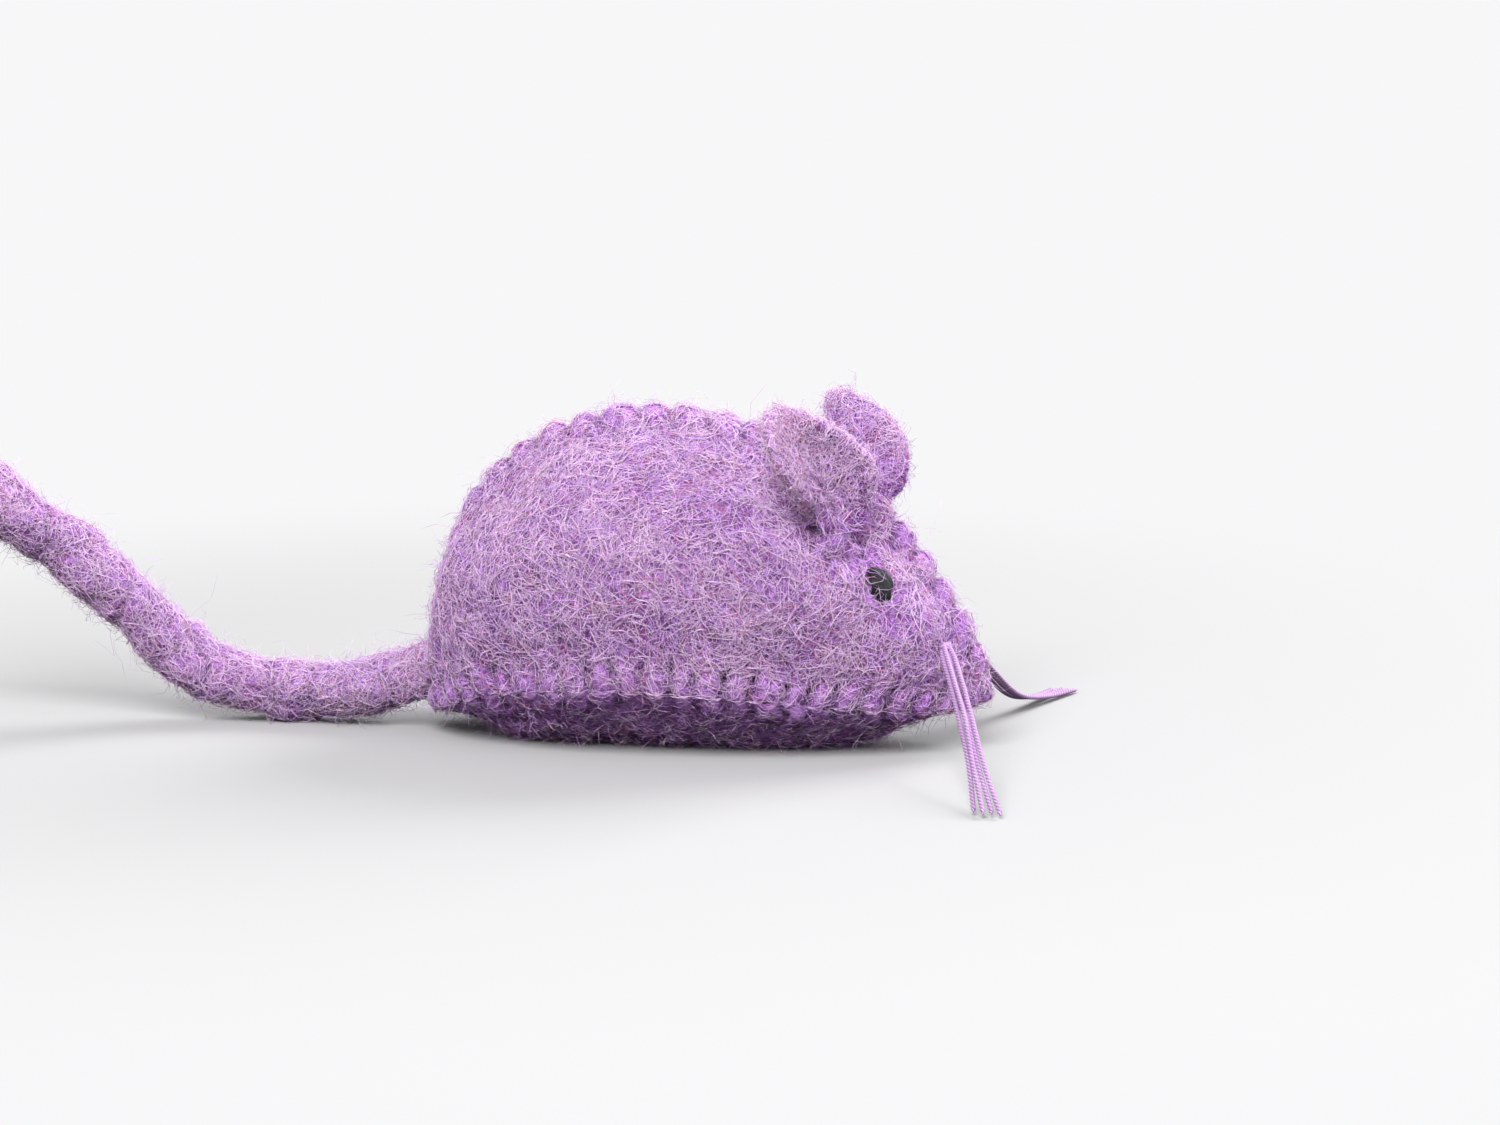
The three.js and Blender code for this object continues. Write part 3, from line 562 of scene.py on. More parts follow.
def fibres(felt, count, seed, style, shade, keep=None, heading=None, hollow=None):
    """Loose wool fibres on a felt surface, each a three-sided thread pointed at both ends. A fibre starts
    at a random place, evenly over the area (times keep), walks over the surface along the heading or any
    way, and stands off it by an arch plus a lift that grows towards its tip. Returns the shape and each
    vertex's tone, a random number that is the same all along one fibre, plus the shade where it starts,
    which carries the callers' painted shade in hollows and creases and painted highlight at the ears' rims."""
    rng = np.random.default_rng(seed)
    steps = style.steps
    weight = felt.area[:-1, :-1] * (1 if keep is None else keep[:-1, :-1])
    spot = rng.choice(weight.size, count, p=weight.ravel() / weight.sum())
    a = spot // (felt.columns - 1) + rng.uniform(0, 1, count)
    b = spot % (felt.columns - 1) + rng.uniform(0, 1, count)
    tone = rng.uniform(0, 1, count)
    tone = np.where(tone > PALEST, tone, np.clip(tone + felt.number(shade, a, b), 0, PALEST))
    length = style.length * rng.lognormal(0, LENGTH_SPREAD, count)
    angle = rng.uniform(0, 2 * np.pi, count)
    if heading is not None:
        lie = felt.number(heading, a, b)
        angle = lie + rng.normal(0, LIE_SPREAD, count) + np.pi * rng.integers(0, 2, count)
    bend = rng.normal(0, style.bend, count)
    arch = style.arch * rng.uniform(*ARCH_SPREAD, count)
    lift = style.lift * rng.exponential(1, count)
    radius = style.width / 2 * rng.uniform(*WIDTH_SPREAD, count)
    places, normals = [], []
    deepest = np.zeros(count)
    for step, (a, b, ground, normal) in enumerate(walk(felt, a, b, angle, bend, length / steps, steps)):
        share = step / steps
        stand = arch * math.sin(math.pi * share) + lift * share**LIFT_CURVE + radius * CLEAR_OF_FELT
        places.append(ground + normal * stand[:, None])
        normals.append(normal)
        if hollow is not None and 0 < step < steps:
            deepest = np.maximum(deepest, felt.number(hollow, a, b))
    path = np.stack(places, axis=1)
    tangent = unit(np.gradient(path, axis=1))
    aside = unit(np.cross(tangent, np.stack(normals, axis=1)))
    above = np.cross(aside, tangent)
    turn = np.arange(FIBRE_SIDES) * 2 * np.pi / FIBRE_SIDES
    inner = slice(1, steps)
    ring = aside[:, inner, None] * np.cos(turn)[:, None] + above[:, inner, None] * np.sin(turn)[:, None]
    ring = path[:, inner, None] + ring * radius[:, None, None, None]
    vertices = np.concatenate([ring.reshape(count, -1, 3), path[:, [0, -1]]], axis=1)
    is_clear = deepest < MOST_HOLLOW
    vertices, tone = vertices[is_clear], tone[is_clear]
    vertices[..., 2] = np.maximum(vertices[..., 2], LOWEST_FIBRE)
    return fibre_shape(vertices, steps - 1), np.repeat(tone, vertices.shape[1])


def fibre_shape(vertices, rings):
    """Joins the vertices of many fibres, and gives each fibre a cell of its own on the flat map."""
    count, per = vertices.shape[:2]
    first, last = per - 2, per - 1
    side = np.arange(FIBRE_SIDES)
    after = (side + 1) % FIBRE_SIDES
    top = FIBRE_SIDES * (rings - 1)
    below = FIBRE_SIDES * np.arange(rings - 1)[:, None]
    above = below + FIBRE_SIDES
    pattern = np.concatenate(
        [
            np.stack([np.full(FIBRE_SIDES, first), side, after], axis=-1),
            np.stack([np.full(FIBRE_SIDES, last), top + after, top + side], axis=-1),
            np.stack([below + side, above + after, below + after], axis=-1).reshape(-1, 3),
            np.stack([below + side, above + side, above + after], axis=-1).reshape(-1, 3),
        ]
    )
    faces = (np.arange(count)[:, None, None] * per + pattern).reshape(-1, 3)
    grid = math.ceil(math.sqrt(count))
    cell = np.stack(np.divmod(np.arange(count), grid), axis=-1) / grid
    spot = np.zeros((per, 2))
    spot[:-POINTED_ENDS, 0] = np.repeat((np.arange(rings) + 1) / (rings + 1), FIBRE_SIDES)
    spot[:-POINTED_ENDS, 1] = np.tile(side / FIBRE_SIDES + FIRST_SIDE_AT, rings)
    spot[first], spot[last] = (0, 0.5), (1, 0.5)
    corners = cell[:, None, None] + (CELL_MARGIN + (1 - 2 * CELL_MARGIN) * spot[pattern]) / grid
    return Shape(vertices.reshape(-1, 3), [faces], [corners])


def add_fibres(owner, kind, felt, count, seed, look, shade=0.0, shorter=1.0, bend=None, **growth):
    """A piece of fibres of one kind on a felt surface; shade makes those that start at a place paler or
    darker, and carries painted shade in hollows and creases and a painted highlight at the ears' rims."""
    style = STYLES[kind]
    style = style._replace(length=style.length * shorter, width=style.width * look.fibre)
    tint = style.pale + np.zeros(felt.points.shape[:2]) + shade
    shape, tone = fibres(felt, count, seed, style, tint, **growth)
    add_piece(f"{owner}_{kind}", shape, "wool_fibre", bend=bend, tone=tone)


def add_wool(owner, felt, share, seed, look, layers=WOOL, **growth):
    """Layers of fibres on a felt surface: a lying nap, long loose fibres, a short raised fuzz and a few hairs
    that stand well off. Share is the number of fibres against those of a side panel."""
    counts = dict(zip(WOOL, (look.nap, look.loose, look.fuzz, look.hairs)))
    for number, layer in enumerate(layers):
        add_fibres(owner, layer, felt, int(counts[layer] * share), seed + 100 * number, look, **growth)


# Materials
class Value:
    """A number socket that Python's operators work on."""

    def __init__(self, shader, socket):
        self.shader = shader
        self.socket = socket

    def _math(self, operation, a, b):
        return self.shader.value("ShaderNodeMath", {"operation": operation}, {0: a, 1: b})

    def __add__(self, other):
        return self._math("ADD", self, other)

    __radd__ = __add__

    def __sub__(self, other):
        return self._math("SUBTRACT", self, other)

    def __rsub__(self, other):
        return self._math("SUBTRACT", other, self)

    def __mul__(self, other):
        return self._math("MULTIPLY", self, other)

    __rmul__ = __mul__

    def __pow__(self, other):
        return self._math("POWER", self, other)

    def __abs__(self):
        return self._math("ABSOLUTE", self, 0.0)


class Shader:
    """The nodes of one material, or of the world."""

    def __init__(self, owner):
        owner.use_nodes = True
        self.owner = owner
        self.tree = owner.node_tree
        self.tree.nodes.clear()

    def node(self, kind, settings=None, inputs=None):
        """Adds a node: its settings first, then the values or links of its sockets, by name or number. A
        node as a value stands for its first output."""
        made = self.tree.nodes.new(kind)
        for key, value in (settings or {}).items():
            if key == "stops":
                self._stops(made.color_ramp, value)
            else:
                setattr(made, key, value)
        for key, value in (inputs or {}).items():
            socket = made.inputs[key]
            if isinstance(value, Value):
                value = value.socket
            if isinstance(value, bpy.types.Node):
                value = value.outputs[0]
            if isinstance(value, bpy.types.NodeSocket):
                self.tree.links.new(value, socket)
            else:
                socket.default_value = value
        return made

    def _stops(self, ramp, stops):
        while len(ramp.elements) < len(stops):
            ramp.elements.new(0.5)
        for element, (position, colour) in zip(ramp.elements, stops):
            element.position = position
            element.color = (*colour, 1)

    def value(self, kind, settings=None, inputs=None, output=0):
        return Value(self, self.node(kind, settings, inputs).outputs[output])

    def noise(self, place, scale, detail=2.0, distortion=0.0):
        """Noise at a place, with scale features to the metre."""
        inputs = {"Vector": place, "Scale": scale, "Detail": detail, "Distortion": distortion}
        return self.value("ShaderNodeTexNoise", None, inputs)

    def web(self, place, scale, distortion):
        """Thin curved lines like crossed fibres: 1 where noise crosses its middle, less to both sides."""
        return 1 - abs(self.noise(place, scale, 3.0, distortion) * 2 - 1)

    def attribute(self, name):
        return self.value("ShaderNodeAttribute", {"attribute_name": name}, None, "Fac")

    def place(self):
        return self.node("ShaderNodeTexCoord").outputs["Object"]

    def seen(self):
        """1 for what the camera, mirrors and glass see, 0 for the light that falls on things."""
        path = self.node("ShaderNodeLightPath").outputs
        seen = path["Is Camera Ray"]
        for kind in ("Is Glossy Ray", "Is Transmission Ray"):
            seen = self.value("ShaderNodeMath", {"operation": "MAXIMUM"}, {0: seen, 1: path[kind]})
        return seen

    def ramp(self, value, stops):
        return self.node("ShaderNodeValToRGB", {"stops": stops}, {"Fac": value}).outputs["Color"]

    def tones(self, value, colour, places, dark, light, more=0.0):
        """A ramp from a darker tone of a colour, through it, to a lighter one."""
        darker = tuple(c * dark for c in colour)
        lighter = tuple(min(1.0, c * light + more) for c in colour)
        return self.ramp(value, list(zip(places, (darker, colour, lighter))))

    def mix(self, share, first, second):
        """A colour between two colours, each a socket or three numbers."""
        inputs = {0: share, 6: self._colour(first), 7: self._colour(second)}
        return self.node("ShaderNodeMix", {"data_type": "RGBA"}, inputs).outputs[2]

    def _colour(self, colour):
        return colour if isinstance(colour, bpy.types.NodeSocket) else (*colour, 1)

    def bump(self, height, distance, strength):
        inputs = {"Height": height, "Distance": distance, "Strength": strength}
        return self.node("ShaderNodeBump", None, inputs).outputs["Normal"]

    def end(self, surface, kind="ShaderNodeOutputMaterial"):
        """Ends the nodes in a surface."""
        self.node(kind, None, {"Surface": surface})
        return self.owner

    def finish(self, inputs):
        """Ends a material in a Principled surface with these sockets."""
        return self.end(self.node("ShaderNodeBsdfPrincipled", None, inputs))


def felt_material(shader, colours):
    """Wool felt: mottled lilac with a web of paler and pinker fibres, with painted shade in its needle holes,
    grooves and creases and a painted highlight at the ears' cut rims and tips."""
    place = shader.place()
    mottle = shader.noise(place, 140.0, 3.0)
    fine = shader.web(place, 620.0, 1.6)
    finer = shader.web(place, 1400.0, 1.2)
    pink = shader.web(place, 330.0, 2.5) ** 26.0
    web = fine**7.0 * 0.5 + finer**6.0 * 0.5
    ground = shader.ramp(mottle, [(0.2, colours.deep), (0.45, colours.felt), (0.8, colours.fibre)])
    ground = shader.mix(pink * 0.5, ground, colours.pink)
    ground = shader.mix(web * 0.75, ground, colours.pale)
    # painted highlight: the ears' rims and tips are mixed towards the pale fibre colour
    ground = shader.mix(shader.attribute("rim") * 0.6, ground, colours.pale)
    # painted shade: needle holes, stitch grooves, the ear's crease and base are mixed towards the dark hollow
    # colour
    ground = shader.mix(shader.attribute("hollow") * 0.85, ground, colours.hollow)
    return shader.finish(
        {
            "Base Color": ground,
            "Roughness": 0.93,
            "Specular IOR Level": 0.15,
            "Sheen Weight": 0.25,
            "Sheen Roughness": 0.5,
            "Sheen Tint": (0.9, 0.75, 0.95, 1),
            "Normal": shader.bump(fine * 0.6 + finer * 0.4 + mottle * 0.5, 0.00035, 0.8),
        }
    )


def fibre_material(shader, colours):
    """Single wool fibres: each has its own tone, from the felt's lilac to nearly white, and a few are
    pink; the tone also carries painted shade in hollows and creases and a painted highlight at the ears'
    rims."""
    stops = [
        (0.0, colours.deep),
        (0.28, colours.felt),
        (0.5, colours.fibre),
        (0.7, colours.pale),
        (PALEST, colours.white),
        (PALEST + 0.005, colours.pink),
    ]
    return shader.finish(
        {
            "Base Color": shader.ramp(shader.attribute("tone"), stops),
            "Roughness": 0.55,
            "Specular IOR Level": 0.22,
            "Sheen Weight": 0.1,
        }
    )


def thread_material(shader, colour, shine, gloss):
    """Twisted thread: fine strands of slightly different tone, with a soft shine, and painted shade in the
    pinch between its plies. Shine smooths the fibre, gloss is how much light it mirrors."""
    place = shader.place()
    strand = shader.web(place, 2600.0, 0.6)
    shade = shader.noise(place, 300.0, 2.0)
    ground = shader.tones(strand * 0.6 + shade * 0.4, colour, (0.25, 0.55, 0.85), 0.55, 1.25, 0.03)
    # painted shade: darker where the two plies pinch together
    ground = shader.mix(shader.attribute("groove") * 0.85, ground, tuple(c * 0.3 for c in colour))
    return shader.finish(
        {
            "Base Color": ground,
            "Roughness": 0.75 - shine * (0.35 + 0.2 * strand),
            "Specular IOR Level": gloss,
            "Sheen Weight": 0.05,
            "Normal": shader.bump(strand, 0.00006, 0.6),
        }
    )


def wad_material(shader, colour):
    """Loose fibre filling: a pale tangle with soft hollows."""
    place = shader.place()
    tangle = shader.web(place, 480.0, 2.2)
    cloud = shader.noise(place, 90.0, 4.0)
    return shader.finish(
        {
            "Base Color": shader.tones(tangle * 0.5 + cloud * 0.5, colour, (0.25, 0.5, 0.8), 0.6, 1.15),
            "Roughness": 0.95,
            "Sheen Weight": 0.3,
            "Normal": shader.bump(tangle + cloud, 0.0006, 0.9),
        }
    )


def pouch_material(shader, colour):
    """The catnip pouch: plain-woven cotton, green with the leaf inside, with darker crumbs showing
    through."""
    place = shader.place()
    grains = {"Vector": place, "Scale": 520.0}
    crumbs = shader.value("ShaderNodeTexVoronoi", {"feature": "F1"}, grains, "Distance")
    cloud = shader.noise(place, 160.0, 3.0)
    yarns = {"Vector": place, "Scale": 420.0, "Distortion": 0.3}
    warp, weft = (
        shader.value("ShaderNodeTexWave", {"bands_direction": way}, yarns, "Fac") for way in ("X", "Z")
    )
    return shader.finish(
        {
            "Base Color": shader.tones(crumbs * 0.7 + cloud * 0.5, colour, (0.2, 0.45, 0.8), 0.45, 1.5, 0.05),
            "Roughness": 0.9,
            "Normal": shader.bump(warp * weft + crumbs * 0.4, 0.0002, 0.8),
        }
    )


FLOOR_BOUNCE = (0.035, 0.035, 0.033)  # the floor throws back only as much light as a dark one would
FLOOR_NEAR, FLOOR_FAR = 0.1, 0.24  # metres from the toy between which the floor turns into the backdrop


def floor_material(shader, colour, backdrop):
    """A pale matt floor near the toy that runs into an even pale backdrop further off, as the camera,
    mirrors and glass see it; the light that it throws on the toy is that of a darker floor."""
    matt = {"Base Color": (*colour, 1), "Roughness": 0.9, "Specular IOR Level": 0.1}
    near = shader.node("ShaderNodeBsdfPrincipled", None, matt)
    even = shader.node("ShaderNodeEmission", None, {"Color": (*backdrop, 1), "Strength": 1.0})
    distance = shader.value("ShaderNodeVectorMath", {"operation": "LENGTH"}, {0: shader.place()}, "Value")
    span = {"Value": distance, "From Min": FLOOR_NEAR, "From Max": FLOOR_FAR}
    far = shader.value("ShaderNodeMapRange", {"interpolation_type": "SMOOTHSTEP"}, span)
    both = shader.node("ShaderNodeMixShader", None, {0: far, 1: near, 2: even})
    dull = shader.node("ShaderNodeBsdfDiffuse", None, {"Color": (*FLOOR_BOUNCE, 1)})
    return shader.end(shader.node("ShaderNodeMixShader", None, {0: shader.seen(), 1: dull, 2: both}))


def material(kind):
    """A material of the toy, made on first use."""
    if kind in bpy.data.materials:
        return bpy.data.materials[kind]
    colours = bpy.context.scene.mouse_colours
    shader = Shader(bpy.data.materials.new(kind))
    makers = {
        "wool_felt": lambda: felt_material(shader, colours),
        "wool_fibre": lambda: fibre_material(shader, colours),
        "seam_ply": lambda: thread_material(shader, tuple(colours.thread), 0.5, 0.25),
        "whisker_ply": lambda: thread_material(shader, tuple(colours.whisker), 0.6, 0.25),
        "eye_ply": lambda: thread_material(shader, tuple(colours.eye), 0.5, 0.12),
        "fibre_wad": lambda: wad_material(shader, tuple(colours.stuffing)),
        "catnip_pouch_cloth": lambda: pouch_material(shader, tuple(colours.catnip)),
        "studio_floor": lambda: floor_material(shader, tuple(colours.floor), tuple(colours.backdrop)),
    }
    return makers[kind]()


# What a user would change
def colour_property(name, description, default):
    return FloatVectorProperty(
        name=name, description=description, default=default, subtype="COLOR", size=3, min=0.0, max=1.0
    )


def number_property(name, description, default, **limits):
    kind = IntProperty if isinstance(default, int) else FloatProperty
    return kind(name=name, description=description, default=default, **limits)


def angle_property(name, description, degrees):
    return number_property(name, description, math.radians(degrees), subtype="ANGLE")


class MouseColours(bpy.types.PropertyGroup):
    """Colours of the wool and the threads."""

    deep: colour_property("Deep wool", "Wool between the fibres", (0.25, 0.072, 0.32))
    felt: colour_property("Felt", "Main colour of the felt", (0.5, 0.205, 0.65))
    fibre: colour_property("Fibre", "Most of the loose fibres", (0.67, 0.32, 0.89))
    pale: colour_property("Pale fibre", "The lighter loose fibres", (0.79, 0.455, 1.0))
    white: colour_property("White fibre", "The few nearly white fibres", (0.95, 0.74, 1.0))
    pink: colour_property("Pink fibre", "The few pink fibres", (0.66, 0.22, 0.45))
    # painted shade: the dark colour that needle holes, stitch grooves, creases and the ear's base are mixed
    # towards
    hollow: colour_property("Hollows", "Inside needle holes and creases", (0.05, 0.016, 0.07))
    thread: colour_property("Sewing thread", "The seams' thread", (0.50, 0.27, 0.62))
    whisker: colour_property("Whisker thread", "The whiskers' shiny thread", (0.56, 0.33, 0.64))
    eye: colour_property("Eye thread", "The eyes' black thread", (0.007, 0.008, 0.011))
    stuffing: colour_property("Stuffing", "The fibre filling", (0.79, 0.75, 0.70))
    catnip: colour_property("Catnip pouch", "The pouch of dried leaf", (0.27, 0.29, 0.14))
    floor: colour_property("Floor", "The studio floor", (0.485, 0.485, 0.49))
    backdrop: colour_property("Backdrop", "The pale distance", (0.93, 0.93, 0.94))


class MouseFelt(bpy.types.PropertyGroup):
    """How rough and how fuzzy the felt is; lengths in millimetres."""

    lump: number_property("Lumps", "Height of the felt's unevenness", 0.3, min=0, max=2)
    puff: number_property("Puffs", "Swelling between two stitches", 0.7, min=0, max=2)
    groove: number_property("Grooves", "Depth that a stitch pulls in", 0.6, min=0, max=2)
    hole: number_property("Needle holes", "Depth of a needle hole", 1.4, min=0, max=2)
    nap: number_property("Nap", "Lying fibres on each side", 25800, min=0, max=33000)
    loose: number_property("Loose fibres", "Long raised fibres on each side", 6000, min=0, max=10000)
    fuzz: number_property("Fuzz", "Short raised fibres on each side", 12400, min=0, max=16000)
    hairs: number_property("Stray hairs", "Long hairs that stand off each side", 900, min=0, max=3000)
    fibre: number_property("Fibre width", "Width of a fibre", 0.11, min=0.02, max=0.5)


class MouseView(bpy.types.PropertyGroup):
    """The camera and the studio light."""

    azimuth: angle_property("Azimuth", "Round towards the nose", 12)
    elevation: angle_property("Elevation", "Above the floor", 12)
    heading: angle_property("Heading", "Where it looks, round", 11.45)
    tilt: angle_property("Tilt", "How far it looks down", 9.6)
    distance: number_property("Distance", "From the toy", 0.595, unit="LENGTH")
    lens: number_property("Lens", "Focal length in millimetres", 100.0, min=10)
    key: number_property("Key light", "Power of the large lamp above", 13.0, min=0)
    rim: number_property("Rim light", "Power of the lamp behind", 8.0, min=0)
    fill: number_property("Fill light", "Power of the lamp before the nose", 2.0, min=0)
    ambient: number_property("Ambient", "Strength of the light from all round", 0.38, min=0)


# Seams
STITCH_STEP = 0.748 / 19  # share of a seam between two stitches
FIRST_STITCH = 0.145 - 2 * STITCH_STEP
STITCHES = 24
GROOVE_WIDTH = 0.6
GROOVE_ENDS = (0.4, 0.7)  # before and beyond the needle hole, where a groove fades
HOLE_WIDTH, HOLE_LENGTH = 0.5, 0.7
NOTCH_WIDTH, NOTCH_REACH = 0.8, 2.5
PUFF_REACH, PUFF_ROUNDNESS = 1.5, 0.8
# painted shade: how dark a needle hole and a stitch groove are painted
HOLE_PAINTED_SHADE, GROOVE_PAINTED_SHADE = 1.5, 0.32
BELLY_DRAW, BACK_DRAW = 0.8, 1.25  # how far a stitch draws in the panels' edges at the belly and at the back
BELLY_RELIEF = 0.45  # the stitches pull the belly less than the sides
# Hand sewing's spread from stitch to stitch
SHIFT_SPREAD = 0.25
LEAN, LEAN_SPREAD = 0.1, 0.12
MORE_REACH, REACH_SPREAD = 0.1, 0.3
PULLS = (0.65, 1.25)


class Seam:
    """The stitches of one seam, a little uneven as hand sewing is: where each is, how far it shifts, leans
    and reaches into the felt, in millimetres, and how hard it pulls."""

    def __init__(self, length, seed):
        rng = np.random.default_rng(seed)
        self.length = length
        self.pitch = STITCH_STEP * length
        self.shares = FIRST_STITCH + STITCH_STEP * np.arange(STITCHES)
        self.shift = rng.normal(0, SHIFT_SPREAD, STITCHES)
        self.lean = rng.normal(LEAN, LEAN_SPREAD, STITCHES)
        self.reach = STITCH_REACH + rng.normal(MORE_REACH, REACH_SPREAD, STITCHES)
        self.pull = rng.uniform(*PULLS, STITCHES)

    def near(self, u, distance):
        """For points at a share of the seam and a distance from its edge: the nearest stitch, and how far
        along the seam the point is from it."""
        nearest = np.rint((u - self.shares[0]) / STITCH_STEP)
        nearest = np.clip(nearest, 0, STITCHES - 1).astype(int)
        along = (u - self.shares[nearest]) * self.length
        return nearest, along - self.shift[nearest] - self.lean[nearest] * distance

    def relief(self, u, distance, look, room):
        """Height of the felt over its plain face, the painted shade of its needle holes and stitch grooves,
        and how
        far its edge is pulled in: a groove under each stitch from the edge to the needle hole, a pit at the
        hole, and a puff between stitches."""
        nearest, x = self.near(u, distance)
        reach, pull = self.reach[nearest] * room, self.pull[nearest]
        ended = smooth(reach - GROOVE_ENDS[0], reach + GROOVE_ENDS[1], distance)
        groove = bell(x, GROOVE_WIDTH) * (1 - ended) * pull
        pit = bell(x, HOLE_WIDTH, distance - reach, HOLE_LENGTH) * pull
        between = np.sin(np.pi * np.clip(x / self.pitch, -0.5, 0.5)) ** 2
        puff = between * np.sin(np.pi * np.clip(distance / (reach * PUFF_REACH), 0, 1)) ** PUFF_ROUNDNESS
        height = look.puff * puff - look.groove * groove - look.hole * pit
        notch = bell(x, NOTCH_WIDTH) * (1 - smooth(0, NOTCH_REACH, distance)) * pull
        return height * room, np.clip(pit * HOLE_PAINTED_SHADE + groove * GROOVE_PAINTED_SHADE, 0, 1), notch * room


BACK_STITCHES = Seam(BACK_SEAM.length, 11)
BELLY_STITCHES = {-1: Seam(BELLY_SEAM.length / 2, 12), 1: Seam(BELLY_SEAM.length / 2, 13)}


def closer_at_edges(edge, at_edge, between):
    """Shares across a panel that lie closer together within edge of both its sides."""
    first = np.linspace(0, edge, at_edge)
    middle = np.linspace(edge, 1 - edge, between)[1:]
    return np.concatenate([first, middle, np.linspace(1 - edge, 1, at_edge)[1:]])


COLUMNS = np.linspace(0.006, 0.992, 270)
SIDE_ROWS = closer_at_edges(0.16, 22, 42)
BELLY_ROWS = closer_at_edges(0.2, 22, 26)


def on_grid(rows):
    """The rows' shares for each of the columns."""
    return np.broadcast_to(rows, (len(COLUMNS), len(rows)))


def from_edges(points):
    """How far each point of a grid is from its first and from its last column, along the felt."""
    steps = np.linalg.norm(np.diff(points, axis=1), axis=-1)
    walked = np.concatenate([np.zeros((len(points), 1)), np.cumsum(steps, axis=1)], axis=1)
    return walked, walked[:, -1:] - walked


def own_side(points, seams):
    """Moves points that cross the seam nearest to them back to their own side of it."""
    half = points.shape[1] // 2
    moved = []
    for part, seam in zip((points[:, :half], points[:, half:]), seams):
        reach = dot(part - seam.edge.point[:, None], seam.into[:, None])
        moved.append(part + seam.into[:, None] * np.maximum(0, SEAM_GAP / 2 - reach)[..., None])
    return np.concatenate(moved, axis=1)


def on_floor(points):
    """What would hang below the floor rests on it."""
    return np.concatenate([points[..., :2], np.maximum(points[..., 2:], 0)], axis=-1)


class EarCut(NamedTuple):
    """What differs between the two ears: how far each leans back, the turn of its sewn base in radians, how
    blunt its tip is cut, how much lower than the taller ear it is, how much paler than the body's wool its
    fibres are painted, which is painted light that evens out how the lamps light the two ears (the far
    ear, which the fill lamp falls on, darker), and how far its tip is swept back along its base."""

    lean_back: float
    turn: float
    blunt: float
    trim: float
    tone: float
    sweep: float


# tone is painted light: the far ear is painted darker where the fill lamp falls on it
EARS = {-1: EarCut(0.37, 0.84, 1.4, 0.0, 0.04, 2.6), 1: EarCut(0.15, 0.5, 3.2, 2.2, -0.2, 1.2)}
EAR_FOLDS = 2.1  # radians per millimetre of the gathers along an ear's sewn base


class EarSeat(NamedTuple):
    """An ear's origin on the felt, the line of its sewn base, the ways it leans and faces, the felt's normal
    there, and the way it faces along the felt."""

    origin: np.ndarray
    base: np.ndarray
    lean: np.ndarray
    face: np.ndarray
    normal: np.ndarray
    front: np.ndarray


def ear_seat(side):
    """Where an ear is sewn on."""
    ear = EARS[side]
    point, normal, _, _ = seat_on(EAR_AT, side)
    lean = unit(np.array([-ear.lean_back, side * 0.25, 1]))
    base = np.array([-math.cos(ear.turn), side * math.sin(ear.turn), 0])
    base = unit(base - normal * dot(base, normal))
    face = unit(np.cross(base, lean) * side)
    front = unit(face - normal * dot(face, normal))
    return EarSeat(point + normal * (FELT / 2 + GAP), base, lean, face, normal, front)


# Needle holes in front of an ear: along its base, away from it
EAR_HOLES = ((-3.6, 3.2), (-1.6, 2.6), (-2.6, 5.2), (0.4, 5.3), (3.2, 4.9), (4.9, 2.6))
# How wide and how deep what is sewn on shapes the felt, and where along and away from an ear's base
EAR_HOLE, EAR_HOLE_DEPTH = 0.75, 1.5
EAR_CREASE_AT, EAR_CREASE, EAR_CREASE_DEPTH = 0.4, 1.1, 1.8
EAR_PUFF_AT, EAR_PUFF, EAR_PUFF_HEIGHT = (1.6, 3.0), (2.2, 1.2), 2.2
EYE_DENT, EYE_DENT_DEPTH = 2.6, 0.5
KNOT_DENT, KNOT_DENT_DEPTH = 1.9, 0.8


def dents_and_painted_shade(points, side):
    """Relief that the sewn-on things leave in a side panel: a crease along the ear's base with a gathered
    puff and needle holes in front of it, and a dent round the eye and the whisker knot; and painted shade
    in the crease, the holes and round the knot."""
    ear = ear_seat(side)
    a, b = dot(points - ear.origin, ear.base), dot(points - ear.origin, ear.front)
    close = bell(dot(points - ear.origin, ear.normal), 5)
    span = (1 - smooth(3.6, 6.0, np.abs(a))) * close
    crease = bell(b - EAR_CREASE_AT, EAR_CREASE) * span * (0.65 + 0.35 * np.cos(EAR_FOLDS * a))
    puff = bell(b - EAR_PUFF_AT[1], EAR_PUFF[1], a - EAR_PUFF_AT[0], EAR_PUFF[0]) * close
    holes = sum(bell(a - x, EAR_HOLE, b - y, EAR_HOLE) for x, y in EAR_HOLES) * close
    to_eye, to_knot = (np.linalg.norm(points - seat_on(at, side)[0], axis=-1) for at in (EYE_AT, KNOT_AT))
    eye = np.exp(-((to_eye / EYE_DENT) ** 4))
    knot = bell(to_knot, KNOT_DENT)
    height = EAR_PUFF_HEIGHT * puff - EAR_CREASE_DEPTH * crease - EAR_HOLE_DEPTH * holes
    height = height - EYE_DENT_DEPTH * eye - KNOT_DENT_DEPTH * knot
    # painted shade: darker in the ear's crease, in its needle holes and round the whisker knot
    return height, np.clip(0.65 * crease + holes + 0.25 * knot, 0, 1)


class SewnEdge(NamedTuple):
    """A panel's sewn edge: its seam's stitches, the edge itself, the directions from it into the panel, and
    how far a stitch draws it in."""

    stitches: Seam
    edge: Edge
    into: np.ndarray
    draw: float


